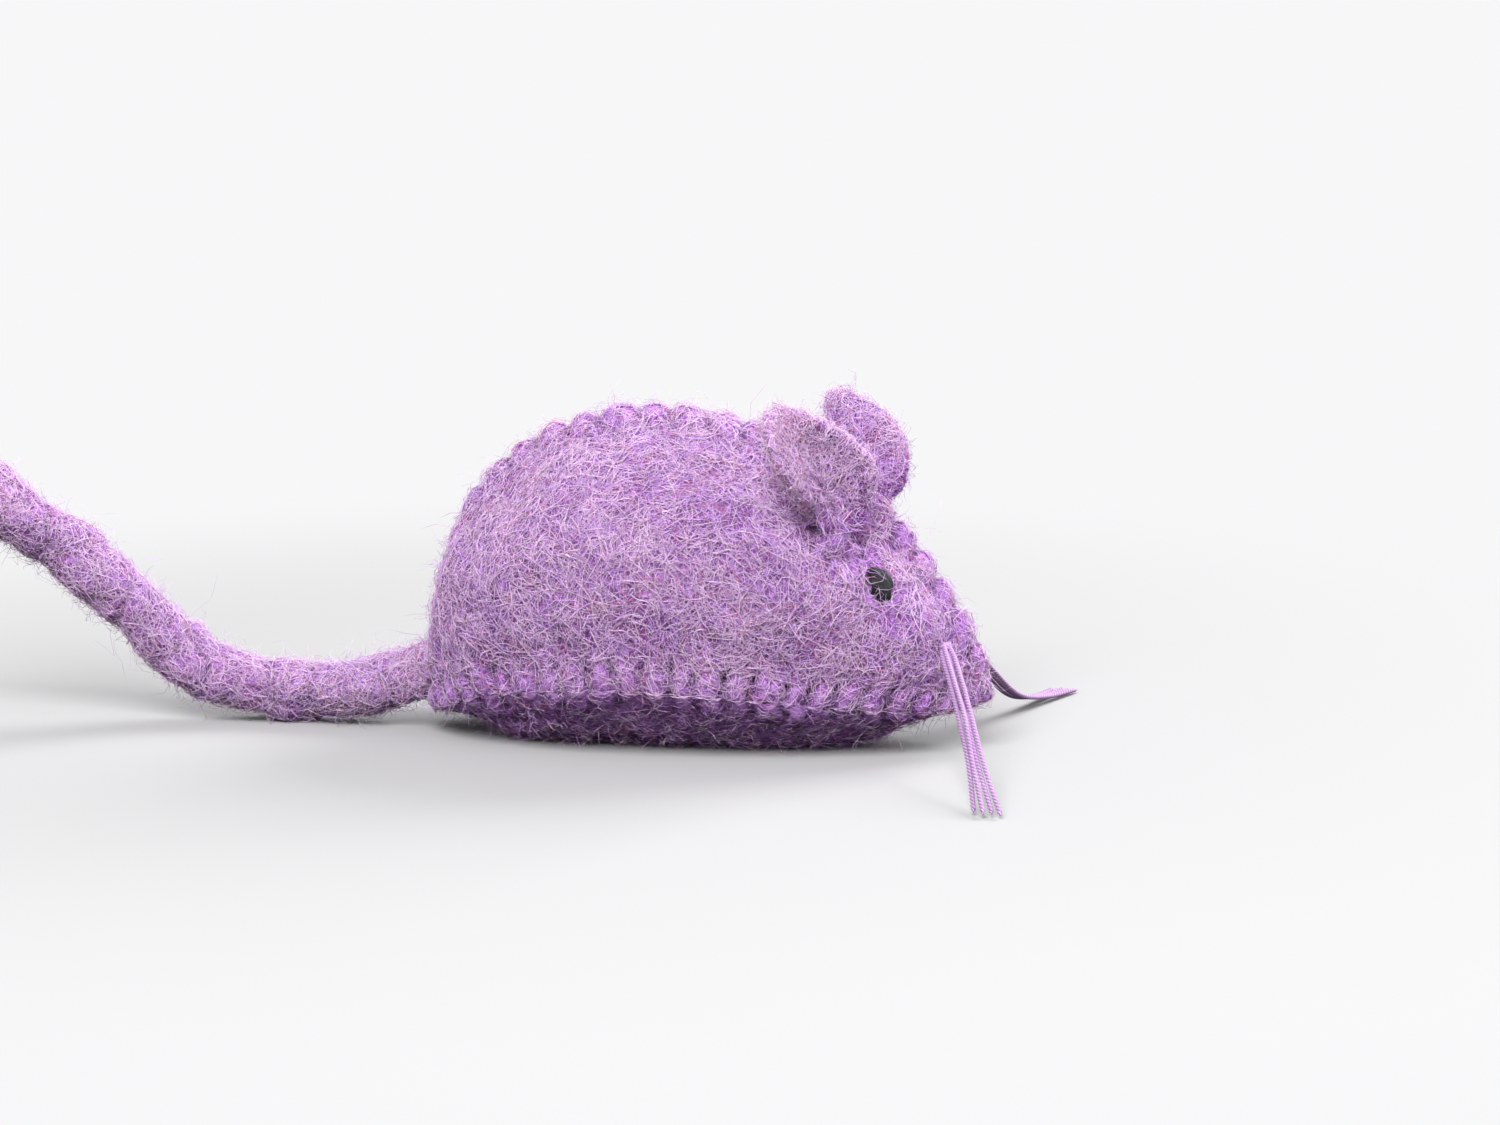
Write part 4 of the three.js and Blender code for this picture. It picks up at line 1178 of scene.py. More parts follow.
def sewn_felt(points, facing, seams, look, pull, relief, hollow):
    """A panel's outer face with its relief, the painted shade of its hollows, and its inner face. The seams
    are those at its first and its last column; pull is how strongly their stitches shape it; relief and
    the painted hollow shade come on top."""
    normals = Felt(points, facing).normals
    thick, room = felt_at(COLUMNS)[:, None], room_at(COLUMNS)[:, None]
    heights, drawn = 0, []
    for seam, distance in zip(seams, from_edges(points)):
        height, painted_pit_shade, notch = seam.stitches.relief(COLUMNS[:, None], distance, look, room)
        heights = heights + height
        hollow = np.maximum(hollow, painted_pit_shade)
        drawn.append(seam.edge.out[:, None] * notch[..., None] * seam.draw)
    heights = pull * heights
    for more in relief:
        heights = heights + more
    outer = points + normals * heights[..., None] - drawn[0] - drawn[1]
    inner = on_floor(points) - normals * thick[..., None]
    outer, inner = own_side(outer, seams), own_side(inner, seams)
    for column, seam in zip((0, -1), seams):
        inner[:, column] = outer[:, column] - seam.edge.out * (FLANGE + thick)
    return Felt(on_floor(outer), facing), hollow, inner


# Unevenness of the felt, as heights, wavelengths and seeds
SIDE_LUMPS = ((1.3, 14, 21), (0.55, 5, 22))
SIDE_GRAIN = ((0.22, 1.6, 23),)
BELLY_LUMPS = ((1, 12, 31), (0.5, 4, 32))
CALM_EDGE = 5  # distance from a seam over which a side's lumps grow to their height


def side_felt(side, look):
    """A side panel, with what is sewn to it pressed in."""
    points = side_surface(COLUMNS, on_grid(SIDE_ROWS), side)
    belly, back = belly_edge(COLUMNS, side), back_edge(COLUMNS)
    inward = np.broadcast_to([0.0, side, 0.0], back.point.shape)
    seams = (
        SewnEdge(BELLY_STITCHES[side], belly, unit(np.cross(belly.tangent, belly.out) * side), BELLY_DRAW),
        SewnEdge(BACK_STITCHES, back, inward, BACK_DRAW),
    )
    away = smooth(0, CALM_EDGE, np.minimum(*from_edges(points)))
    height, hollow = dents_and_painted_shade(points, side)
    uneven = rough(points, SIDE_LUMPS) * away + rough(points, SIDE_GRAIN)
    uneven = look.lump * room_at(COLUMNS)[:, None] * uneven
    return sewn_felt(points, -side, seams, look, 1, (height, uneven), hollow)


def belly_felt(look):
    """The belly panel."""
    points = belly_surface(COLUMNS, on_grid(BELLY_ROWS))
    seams = []
    for side in (-1, 1):
        edge = belly_edge(COLUMNS, side)
        into = unit(np.cross(edge.tangent, edge.out) * -side)
        seams.append(SewnEdge(BELLY_STITCHES[side], edge, into, BELLY_DRAW))
    uneven = look.lump * room_at(COLUMNS)[:, None] * rough(points, BELLY_LUMPS)
    return sewn_felt(points, -1, seams, look, BELLY_RELIEF, (uneven,), 0)


FELTS = {}


def shape_felts(look):
    """Works out the three panels once, for the pieces that lie on them."""
    if not FELTS:
        FELTS.update({side: side_felt(side, look) for side in SIDES.values()})
        FELTS["belly"] = belly_felt(look)
    return FELTS


# Each panel's key among the felts, the way its grid faces, its flat cut in metres, its area in square metres
PANELS = {
    "right_side": (-1, 1, (0.096, 0.052), 0.0038),
    "left_side": (1, -1, (0.096, 0.052), 0.0038),
    "belly": ("belly", -1, (0.083, 0.043), 0.0026),
}
BARE_ROUND_EYE, THIN_ROUND_EYE = 2.1, 2.4  # no fibre lies nearer to an eye's middle, few start nearer
KEPT_ROUND_EYE = 0.05
FEWER_IN_HOLLOWS = 0.9
SIDE_PAINTED_SHADE, BELLY_PAINTED_SHADE = 0.7, 0.6  # painted shade: how much darker the fibres that start in a hollow are painted
# The way the wool lies, in radians, and its paler and darker patches, as heights, wavelengths and seeds
WOOL_LIE = ((1.5, 30, 51),)
WOOL_PATCHES = ((0.14, 10, 52), (0.12, 3.5, 53))
BELLY_WOOL, EAR_WOOL, TAIL_WOOL = 0.4, 0.28, 0.19  # fibres against those of a side panel


class MOUSE_OT_panels(bpy.types.Operator):
    """Make the two side panels and the belly panel, with their nap"""

    bl_idname = "mouse.panels"
    bl_label = "Felt panels"

    def execute(self, context):
        look = context.scene.mouse_felt
        for name, (key, facing, cut, area) in PANELS.items():
            felt, hollow, inner = shape_felts(look)[key]
            shape = shell(felt.points, inner, facing)
            # painted shade: the hollows' darkness goes on the felt as a vertex number for its material
            hollows = np.append(hollow, 0 * hollow)
            piece = add_piece(f"{name}_felt", shape, "wool_felt", f"{name}_panel", hollow=hollows)
            keep = 1 - FEWER_IN_HOLLOWS * np.clip(hollow, 0, 1)
            lie = rough(felt.points, WOOL_LIE)
            patches = rough(felt.points, WOOL_PATCHES)
            # fibres' tone: random paler and darker patches, with painted shade where they start in a hollow
            if key == "belly":
                shade = patches - BELLY_PAINTED_SHADE * hollow
                growth = {"shade": shade, "keep": keep, "heading": lie, "hollow": hollow}
                add_wool(name, felt, BELLY_WOOL, 43, look, ("nap", "fuzz"), **growth)
                continue
            eye = np.linalg.norm(felt.points - seat_on(EYE_AT, key)[0], axis=-1)
            keep = keep * np.where(eye < THIN_ROUND_EYE, KEPT_ROUND_EYE, 1)
            bare = np.where(eye < BARE_ROUND_EYE, 1, hollow)
            shade = patches - SIDE_PAINTED_SHADE * hollow
            growth = {"shade": shade, "keep": keep, "heading": lie, "hollow": bare}
            add_wool(name, felt, 1.0, 41 + key, look, **growth)
        return {"FINISHED"}


# Threads
PLY_PITCH = 1.6
PLY_WAIST = 0.25
# Along one stitch, from the needle hole to the seam's edge: share of its reach, height over the felt
STITCH_OVER = np.array([1, 1, 0.8, 0.55, 0.3, 0.08])
STITCH_LIFT = np.array([-1.7, -0.35, -0.02, 0.02, 0.02, 0.06])


def on_felt(felt, u, distance, from_last, lift):
    """Points on a panel at shares u of a seam and distances from its first or last column, lifted off it."""
    a = np.interp(u, COLUMNS, np.arange(len(COLUMNS)))
    low, high = from_edges(felt.points)
    walked = (high if from_last else low)[np.rint(a).astype(int)]
    order = np.arange(felt.columns)
    way = -1 if from_last else 1
    b = np.array([np.interp(d, w[::way], order[::way]) for d, w in zip(distance, walked)])
    return felt.read(felt.points, a, b) + unit(felt.read(felt.normals, a, b)) * lift[:, None]


def stitch_line(seam, order, first, second):
    """A whip stitch's thread along a seam: at each stitch in order it comes out of the first panel's needle
    hole, lies over the edge, dives into the second panel's hole, and runs on inside to the next stitch.
    Each panel is its felt and whether the seam is its last column."""
    count = len(STITCH_OVER)
    at = np.repeat(seam.shares[order], count)
    reach = np.repeat(seam.reach[order] * room_at(seam.shares[order]), count)
    distance = reach * np.tile(STITCH_OVER, len(order))
    slide = np.repeat(seam.shift[order], count) + np.repeat(seam.lean[order], count) * distance
    lift = np.tile(STITCH_LIFT, len(order))
    out, back = (
        on_felt(felt, at + slide / seam.length, distance, from_last, lift).reshape(len(order), count, 3)
        for felt, from_last in (first, second)
    )
    return np.concatenate([out, back[:, ::-1]], axis=1).reshape(-1, 3)


def add_thread(name, points, steps, node, kind="seam_ply", radius=THREAD / 2, sides=6):
    """A twisted thread that follows points, read evenly by its length."""
    curve = Curve(points)
    path = curve.point(np.linspace(0, 1, steps))
    tangent = unit(np.gradient(path, axis=0))
    aside = np.array([0.31, 0.83, 0.46])
    reference = np.where(np.abs(tangent @ aside)[:, None] > 0.9, [0.9, -0.3, 0.2], aside)
    turns = curve.length / PLY_PITCH
    return add_twist(name, path, reference, radius, sides, turns, PLY_WAIST, kind, node)


class MOUSE_OT_seams(bpy.types.Operator):
    """Sew the back seam and the belly seam"""

    bl_idname = "mouse.seams"
    bl_label = "Whip-stitched seams"

    def execute(self, context):
        felts = shape_felts(context.scene.mouse_felt)
        right, left, belly = (felts[key][0] for key in (-1, 1, "belly"))
        order = np.arange(1, STITCHES - 1)
        back = stitch_line(BACK_STITCHES, order, (right, True), (left, True))
        around = np.concatenate(
            [
                stitch_line(BELLY_STITCHES[-1], order[::-1], (belly, False), (right, False)),
                stitch_line(BELLY_STITCHES[1], order, (belly, True), (left, False)),
            ]
        )
        for name, points in (("back_seam", back), ("belly_seam", around)):
            add_thread(f"{name}_stitches", points, 3 * len(points), f"{name}_thread")
        return {"FINISHED"}


# Ears
EAR_SIDES, EAR_RINGS, EAR_FOOT_RINGS = 72, 60, 8
EAR_ROUND = (0.7, 0.6)  # how round an ear's section is, across it and through the felt
EAR_LAST_RING, EAR_SPACING = 0.02, 1.6  # the rings lie closer towards an ear's tip
EAR_THIN_FROM, EAR_TIP_THIN = 0.8, 0.35  # share of its height where an ear starts to thin, and how much
EAR_FULL_FELT, EAR_FULL_LUMPS = 1.6, 2  # half widths from which the felt and its lumps are whole
EAR_CURL, EAR_MORE_CURL, EAR_CURLED = 0.55, 0.45, 0.25  # curl at the base, what is added, up to where
EAR_GATHER, EAR_GATHERED = 0.5, (0.05, 0.45)  # height of the gathers at the base, and where they fade
EAR_SWEEP_CURVE = 1.6
EAR_ROOT_FIBRES = 170
EAR_ROOT_WIDTH, EAR_ROOT_GRID = 4.4, (24, 16)  # half width of the hollow before an ear
EAR_ROOT_FOOT, EAR_ROOT_BEND, EAR_ROOT_TOP = (3.4, 0.8), (1.5, 1.3), 4.6  # how far out and up it goes
EAR_SHORTER = 0.75  # an ear's fibres against the body's
EAR_BEND = 4  # height over which an ear bends at its base
EAR_WIDEST = 0.5  # share of its height where an ear is widest
EAR_STITCH_WAVE, EAR_STITCH_TURN = 0.9, 2.2  # how the thread weaves through an ear's base


def ear_grid(side):
    """An ear as rings round its height: a petal's half width, curled forward at its edges and gathered at its
    base, with a rounded rim, felt thick."""
    ear, seat = EARS[side], ear_seat(side)
    foot = FELT / 2 / EAR_HEIGHT
    blade = 1 - np.linspace(1, EAR_LAST_RING, EAR_RINGS) ** EAR_SPACING
    h = np.concatenate([np.linspace(-foot, 0, EAR_FOOT_RINGS, endpoint=False), blade])[:, None]
    around = np.linspace(0, 2 * np.pi, EAR_SIDES + 1) * side
    share = np.clip(h, 0, 1)
    rise = EAR_BASE / 2 + (EAR_WIDTH - EAR_BASE) / 2 * np.sin(np.pi / 2 * np.minimum(share / EAR_WIDEST, 1))
    beyond = np.maximum(0, (share - EAR_WIDEST) / (1 - EAR_WIDEST))
    wide = rise * np.sqrt(np.maximum(1e-4, 1 - beyond**ear.blunt))
    wide = wide * np.sqrt(np.maximum(0.02, 1 - (np.minimum(h, 0) / foot) ** 2) ** 0.5)
    c, s = np.cos(around), np.sin(around)
    sideways = np.sign(c) * np.abs(c) ** EAR_ROUND[0] * wide
    half = FELT / 2 * (1 - EAR_TIP_THIN * smooth(EAR_THIN_FROM, 1, share))
    half = half * np.minimum(1, wide / EAR_FULL_FELT)
    thick = np.sign(s) * np.abs(s) ** EAR_ROUND[1] * half
    curl = EAR_CUP * (sideways / (EAR_WIDTH / 2)) ** 2
    curl = curl * (EAR_CURL + EAR_MORE_CURL * smooth(0, EAR_CURLED, share))
    gather = EAR_GATHER * np.cos(sideways * EAR_FOLDS) * (1 - smooth(*EAR_GATHERED, share))
    points = (
        seat.origin
        + seat.base * (sideways + ear.sweep * share**EAR_SWEEP_CURVE)[..., None]
        + seat.lean * (h * (EAR_HEIGHT - ear.trim) + 0 * sideways)[..., None]
        + seat.face * (curl + thick + gather)[..., None]
    )
    swelling = rough(points, ((0.28, 7, 61 + side), (0.12, 2.6, 63 + side)))
    return points + seat.face * (swelling * np.minimum(1, wide / EAR_FULL_LUMPS))[..., None]


def ear_root(seat):
    """The hollow in front of an ear's base, bridged by a curved sheet from the head up to the ear's face."""
    columns, rows = EAR_ROOT_GRID
    across = np.linspace(-EAR_ROOT_WIDTH, EAR_ROOT_WIDTH, columns)
    s, t = np.meshgrid(across, np.linspace(0, 1, rows), indexing="ij")
    s, t = s[..., None], t[..., None]
    curl = EAR_CUP * (s / (EAR_WIDTH / 2)) ** 2
    foot = seat.front * EAR_ROOT_FOOT[0] + seat.normal * EAR_ROOT_FOOT[1]
    corner = seat.front * EAR_ROOT_BEND[0] + seat.lean * EAR_ROOT_BEND[1]
    top = seat.lean * EAR_ROOT_TOP + seat.face * (FELT / 2 + curl)
    sheet = seat.origin + seat.base * s + foot * (1 - t) ** 2 + corner * (2 * t * (1 - t)) + top * t**2
    sign = np.sign(dot(np.cross(seat.base, seat.lean - seat.front), seat.lean + seat.front))
    return Felt(sheet, sign)


class MOUSE_OT_ears(bpy.types.Operator):
    """Make both ears, their sewn bases and their nap"""

    bl_idname = "mouse.ears"
    bl_label = "Ears"

    def execute(self, context):
        look = context.scene.mouse_felt
        for name, side in SIDES.items():
            seat = ear_seat(side)
            top = seat.origin + seat.lean * EAR_BEND
            bend = ("mouse_body", f"{name}_ear_flap", tuple(seat.origin * MM), tuple(top * MM))
            rings = ear_grid(side)
            turn = np.abs(np.cos(np.linspace(0, 2 * np.pi, EAR_SIDES + 1)))
            self.add_petal(name, side, seat, rings, turn[:-1], bend)
            tall = dot(rings - seat.origin, seat.lean)
            edge = np.tile(turn**6, (len(rings), 1))
            # painted highlight: fibres along the ear's edges and at its tip are paler
            rim = 0.6 * np.clip(edge * smooth(2, 6, tall) + smooth(13.5, 16, tall), 0, 1)
            # painted shade: fibres near the ear's base are darker; each ear's tone is painted light too
            shade = EARS[side].tone + rim - 0.5 * (1 - smooth(0, 4, tall))
            growth = {"shade": shade, "shorter": EAR_SHORTER, "bend": bend}
            add_wool(f"{name}_ear", Felt(rings, 1, True), EAR_WOOL, 71 + side, look, **growth)
            root = ear_root(seat)
            growth = {"heading": np.full(root.points.shape[:2], np.pi / 2), "bend": bend}
            add_fibres(f"{name}_ear", "root_fibres", root, EAR_ROOT_FIBRES, 75 + side, look, **growth)
            self.sew_on(name, seat)
        return {"FINISHED"}

    def add_petal(self, name, side, seat, rings, turn, bend):
        """The ear's felt, with painted shade at its base and a painted highlight along its rim and at its
        tip.
        """
        shape = capped(rings)
        height = dot(shape.vertices - seat.origin, seat.lean)
        # painted highlight along the ear's edges and at its tip
        rim = np.append(np.tile(turn**8, len(rings)), [0, 1]) * smooth(2, 8, height)
        rim = np.clip(rim + smooth(13.5, 16.5, height), 0, 1)
        # painted shade at the ear's base
        hollow = 0.75 * (1 - smooth(0, 4, height))
        piece = add_piece(
            f"{name}_ear_felt", shape, "wool_felt", f"{name}_ear", bend=bend, hollow=hollow, rim=rim
        )

    def sew_on(self, name, seat):
        """The stitches through the ear's base, with both ends in the head."""
        reach = EAR_BASE / 2 + GAP + THREAD
        ends = [
            seat.origin + seat.base * (k * (reach + 0.5)) - seat.normal * (FELT + GAP) for k in (-1, 1)
        ]
        bends = [seat.origin + seat.base * (k * reach) for k in (-1, 1)]
        wave = [
            seat.origin + seat.base * x + seat.face * EAR_STITCH_WAVE * math.cos(EAR_STITCH_TURN * x)
            for x in (-2.6, -1.2, 0.2, 1.6, 2.8)
        ]
        points = [ends[0], bends[0], *wave, bends[1], ends[1]]
        add_thread(f"{name}_ear_stitches", points, 70, f"{name}_ear_thread")


# Eyes
EYE_STITCHES = 8
EYE_PLY = 0.42  # radius of one satin stitch
EYE_STEPS = 15
EYE_TALL, EYE_NARROW = 0.92, 0.8  # what the stitches fill of the eye
EYE_ARCH, EYE_TUCK, EYE_CROWN = 0.35, 1.1, 0.25  # a stitch's arch and dive, the middle stitches' rise
EYE_UNEVEN = 0.12
EYE_STRAYS = 20


class MOUSE_OT_eyes(bpy.types.Operator):
    """Embroider both eyes in black satin stitches"""

    bl_idname = "mouse.eyes"
    bl_label = "Eyes"

    def execute(self, context):
        t = np.linspace(-1, 1, EYE_STEPS)[:, None]
        for name, side in SIDES.items():
            point, normal, forward, upward = seat_on(EYE_AT, side)
            rng = np.random.default_rng(81 + side)
            long = unit(upward * 0.72 - forward * 0.69)
            wide = np.cross(long, normal)
            bodies = []
            for number, place in enumerate(np.linspace(-1, 1, EYE_STITCHES)):
                oval = math.sqrt(max(0.12, 1 - (EYE_TALL * place) ** 2))
                half = EYE_TALL * EYE_HEIGHT / 2 * oval * rng.uniform(0.9, 1.05)
                across = place * (EYE_NARROW * EYE_WIDTH / 2 - EYE_PLY)
                middle = point + wide * across + long * rng.normal(0, EYE_UNEVEN)
                rise = EYE_ARCH * (1 - t**2) - EYE_TUCK * np.abs(t) ** 6 + EYE_CROWN * (1 - place**2)
                path = middle + long * (half * t) + normal * rise
                body = tube(path, wide, EYE_PLY, 8, turns=1.2, waist=0.18)
                body.corners = [c * (1 / EYE_STITCHES, 1) + (number / EYE_STITCHES, 0) for c in body.corners]
                bodies.append(body)
            add_piece(f"{name}_eye_stitches", joined(bodies), "eye_ply", f"{name}_eye")
            dome = self.dome_over(point + normal * 1.05, wide, long, normal)
            add_fibres(f"{name}_eye", "stray_fibres", dome, EYE_STRAYS, 85 + side, context.scene.mouse_felt)
        return {"FINISHED"}

    def dome_over(self, top, wide, long, normal):
        """A shallow dome above the eye, for a few of the felt's pale fibres that are caught on the
        stitches."""
        s, t = np.meshgrid(np.linspace(-2.6, 2.6, 14), np.linspace(-2.6, 2.6, 14), indexing="ij")
        sag = 0.1 * (s**2 + t**2)
        dome = top + wide * s[..., None] + long * t[..., None] - normal * sag[..., None]
        return Felt(dome, np.sign(dot(np.cross(wide, long), normal)))


# Whiskers
WHISKER_HEADING = 1.27  # radians outward from straight ahead
WHISKER_CUT = (0.0, 1.0, 0.5, 2.4)  # how much shorter than the longest each strand of a bundle is cut
# Each side's bundle: share of a strand's reach, share of its drop, space between neighbours
BUNDLES = {
    -1: ((0.06, 0.03, 0.15), (0.25, 0.19, 0.14), (0.5, 0.42, 0.2), (0.75, 0.71, 0.3), (1.0, 1.0, 0.75)),
    1: ((0.06, 0.1, 0.15), (0.25, 0.46, 0.2), (0.5, 0.82, 0.25), (0.75, 0.97, 0.35), (1.0, 1.0, 0.75)),
}
REACH_TRIES = 8
STRAND_SPACE = 0.3  # between strands as they leave the knot
STRAND_RINGS, STRAND_SIDES = 440, 10
STRAND_PITCH = 1.5
STRAND_WAIST = 0.45
STRAND_WOBBLE = 0.12
STRAND_CLEARANCE = 0.15  # over the floor
KNOT_TURNS = 3.2  # times that the thread winds round in a knot


def whisker_line(side, index):
    """A strand's route: out of the knot beside its neighbours, in a loose bundle that droops to the floor
    and fans out there; every other strand lies a little higher. Its reach is tried until the route has its
    length."""
    point, _, _, _ = seat_on(KNOT_AT, side)
    place = index - (WHISKERS_PER_SIDE - 1) / 2
    ahead = np.array([math.cos(WHISKER_HEADING), side * math.sin(WHISKER_HEADING), 0])
    aside = np.array([ahead[1], -ahead[0], 0]) * -side
    start = point + ahead * (KNOT_WIDTH / 4) + aside * (place * STRAND_SPACE)
    start = start + UP * (STRAND_SPACE * (-1) ** index)
    drop = start[2] - WHISKER / 2 - STRAND_CLEARANCE
    rng = np.random.default_rng(121 + index + 4 * side)
    wobble = rng.normal(0, STRAND_WOBBLE, (len(BUNDLES[side]), 3))
    wobble[-2:, 2] = np.abs(wobble[-2:, 2])
    length = WHISKER_LENGTH - WHISKER_CUT[index]
    reach = length
    for _ in range(REACH_TRIES):
        route = [
            start + ahead * (reach * along) - UP * (drop * fallen) + aside * (place * apart) + sway
            for (along, fallen, apart), sway in zip(BUNDLES[side], wobble)
        ]
        line = Curve([start, *route])
        reach = reach * length / line.length
    return line


class MOUSE_OT_whiskers(bpy.types.Operator):
    """Make the whisker knots, their strands and the thread through the snout"""

    bl_idname = "mouse.whiskers"
    bl_label = "Whiskers"

    def execute(self, context):
        for name, side in SIDES.items():
            for index in range(WHISKERS_PER_SIDE):
                self.add_strand(name, side, index)
            self.add_knot(name, side)
        inset = np.array([0, KNOT_WIDTH / 2 + GAP, 0])
        ends = [seat_on(KNOT_AT, side)[0] - side * inset for side in (-1, 1)]
        add_thread("snout_thread", np.linspace(*ends, 5), 30, "whisker_core", "whisker_ply", sides=8)
        return {"FINISHED"}

    def add_strand(self, name, side, index):
        """One strand, narrower at its tip."""
        line = whisker_line(side, index)
        share = np.linspace(0, 1, STRAND_RINGS)
        path = line.point(share)
        radius = WHISKER / 2 * (1 - 0.6 * smooth(0.98, 1, share))
        turns = line.length / STRAND_PITCH
        node = f"{name}_whisker_{index + 1}"
        strand = add_twist(
            f"{name}_whisker_strand_{index + 1}", path, UP, radius, STRAND_SIDES, turns, STRAND_WAIST,
            "whisker_ply", node, f"{name}_whiskers",
        )
        tuple(path[0] * MM)
        (path * MM).tolist()

    def add_knot(self, name, side):
        """The knot that holds a bundle: one thread wound over itself."""
        point, normal, forward, upward = seat_on(KNOT_AT, side)
        turn = np.linspace(0, 2 * np.pi * KNOT_TURNS, 130)[:, None]
        tilt = turn * 0.37
        loop = forward * np.cos(turn) * np.cos(tilt) + normal * np.sin(turn)
        rise = upward * (np.cos(turn) * np.sin(tilt) * 0.65)
        knot = point + normal * 0.3 + loop * 0.75 + rise
        node = f"{name}_whisker_knot"
        add_thread(f"{node}_thread", knot, 160, node, "whisker_ply", WHISKER / 2, 8)


# Tail
TAIL_START = np.array([-40.58, 0, 8.1])
# The tail's further points: behind its start, to the mouse's left, above where it lies on the floor
TAIL_ROUTE = (
    (20.5, 0, 0), (33, -1.5, 3.2), (46, -4, 14), (60, -8, 26.5), (72, -11.5, 39), (80, -13.5, 53),
)
TAIL_PATH = Curve(
    [
        TAIL_START,
        TAIL_START + (-10, 0, -2.8),
        *((TAIL_START[0] - behind, left, TAIL_FLOOR + above) for behind, left, above in TAIL_ROUTE),
    ]
)
TAIL_NODES = ("tail_base", "tail_middle", "tail_upper", "tail_tip")
TAIL_BODIES = ("mouse_body", "tail_1", "tail_2", "tail_3", "tail_4")
TAIL_JOINTS = (0, 0.28, 0.52, 0.76)
TAIL_CUTS = (-0.03, 0.14, 0.4, 0.64, 1.0)  # a length of the roll bends about the one joint that is in it
TAIL_BENDS = (0.06, 0.09, 0.09, 0.09)  # how far to both sides of its joint each length bends
TAIL_RINGS = (64, 64, 64, 90)
TAIL_LAP = 0.04  # how far the fibres of one length may lie over the next
TAIL_LAP_RINGS = 90
TAIL_SIDES = 48
TAIL_END = 0.997
ROLL_PITCH = 2.3  # length over which the roll's crease winds on by a radian
ROLL_CREASE, ROLL_CREASE_DEPTH = 0.3, 0.85
ROLL_TIGHT = 0.02  # how much thinner the whole roll is
LOWEST_ROLL = 0.05  # height over the floor
# The roll's lumps, and how its crease wanders, as heights, wavelengths and seeds
ROLL_LUMPS = ((0.5, 11, 91), (0.24, 4.5, 92), (0.07, 1.8, 93))
ROLL_WANDER = ((0.9, 9, 94),)


def tail_rings(start, end, count):
    """The felted roll: rings round the tail's path, of its tapering radius, rolled a little lumpy and
    creased."""
    share = np.linspace(start, end, count)
    on = np.clip(share, 0, 1)
    path, tangent = TAIL_PATH.point(on), TAIL_PATH.tangent(on)
    path = path + tangent * ((share - on) * TAIL_PATH.length)[:, None]
    sideways = unit(np.cross(tangent, UP))
    upward = np.cross(sideways, tangent)
    body = TAIL_ROOT + (TAIL_MIDDLE - TAIL_ROOT) * smooth(0, 0.45, on)
    radius = (body + (TAIL_TIP - body) * smooth(0.58, 1, on) ** 1.3) / 2
    left = np.maximum(0, 1 - on) * TAIL_PATH.length / radius
    radius = radius * np.sqrt(np.clip(1 - (1 - np.minimum(left, 1)) ** 2, 0.0004, 1))
    angle = np.linspace(0, 2 * np.pi, TAIL_SIDES + 1)
    ring = sideways[:, None] * np.cos(angle)[:, None] + upward[:, None] * np.sin(angle)[:, None]
    surface = path[:, None] + ring * radius[:, None, None]
    knuckle = rough(surface, ROLL_LUMPS)
    wind = angle + (share * TAIL_PATH.length)[:, None] / ROLL_PITCH + rough(surface, ROLL_WANDER)
    crease = bell(np.sin(wind / 2), ROLL_CREASE)
    knuckle = knuckle - ROLL_CREASE_DEPTH * crease
    shrink = (radius / (TAIL_MIDDLE / 2))[:, None]
    rolled = radius[:, None] + (knuckle - ROLL_TIGHT) * shrink
    points = path[:, None] + ring * rolled[..., None]
    points[..., 2] = np.maximum(points[..., 2], LOWEST_ROLL)
    return points, path, share, crease


class MOUSE_OT_tail(bpy.types.Operator):
    """Roll the felted tail in four lengths, one round each of its joints, with its nap"""

    bl_idname = "mouse.tail"
    bl_label = "Tail"

    def execute(self, context):
        look = context.scene.mouse_felt
        for number, name in enumerate(TAIL_NODES):
            start, end = TAIL_CUTS[number : number + 2]
            bend = self.bend_of(number)
            rings, path, _, _ = tail_rings(start, end, TAIL_RINGS[number])
            piece = add_piece(f"{name}_roll", loft(rings, path[0], path[-1]), "wool_felt", name, bend=bend)
            lap = start - TAIL_LAP, min(end + TAIL_LAP, TAIL_END)
            longer, _, share, crease = tail_rings(*lap, TAIL_LAP_RINGS)
            keep = np.broadcast_to(((share > start) & (share < end))[:, None], longer.shape[:2])
            # painted shade: fibres that start in the roll's crease are darker
            growth = {"shade": 0.1 - 0.4 * crease, "keep": keep, "heading": np.zeros(keep.shape)}
            add_wool(name, Felt(longer, 1, True), TAIL_WOOL, 95 + number, look, bend=bend, **growth)
        reach = TAIL_ROOT / 2 + 0.4 + THREAD
        ends = [TAIL_START + (FELT + GAP, side * (reach + 1), 0) for side in (-1, 1)]
        bends = [TAIL_START + (0, side * reach, 0) for side in (-1, 1)]
        add_thread("tail_root_stitch", [ends[0], bends[0], TAIL_START, bends[1], ends[1]], 60, "tail_thread")
        return {"FINISHED"}

    def bend_of(self, number):
        """The bodies that a length of the tail bends between, and where the bend starts and ends. The first
        length's bend starts a little inside the seam."""
        joint, near = TAIL_JOINTS[number], TAIL_BENDS[number]
        start = TAIL_PATH.point(max(joint - near, 0.0)) * MM
        if number == 0:
            start = start + (2 * MM, 0, 0)
        return (*TAIL_BODIES[number : number + 2], tuple(start), tuple(TAIL_PATH.point(joint + near) * MM))


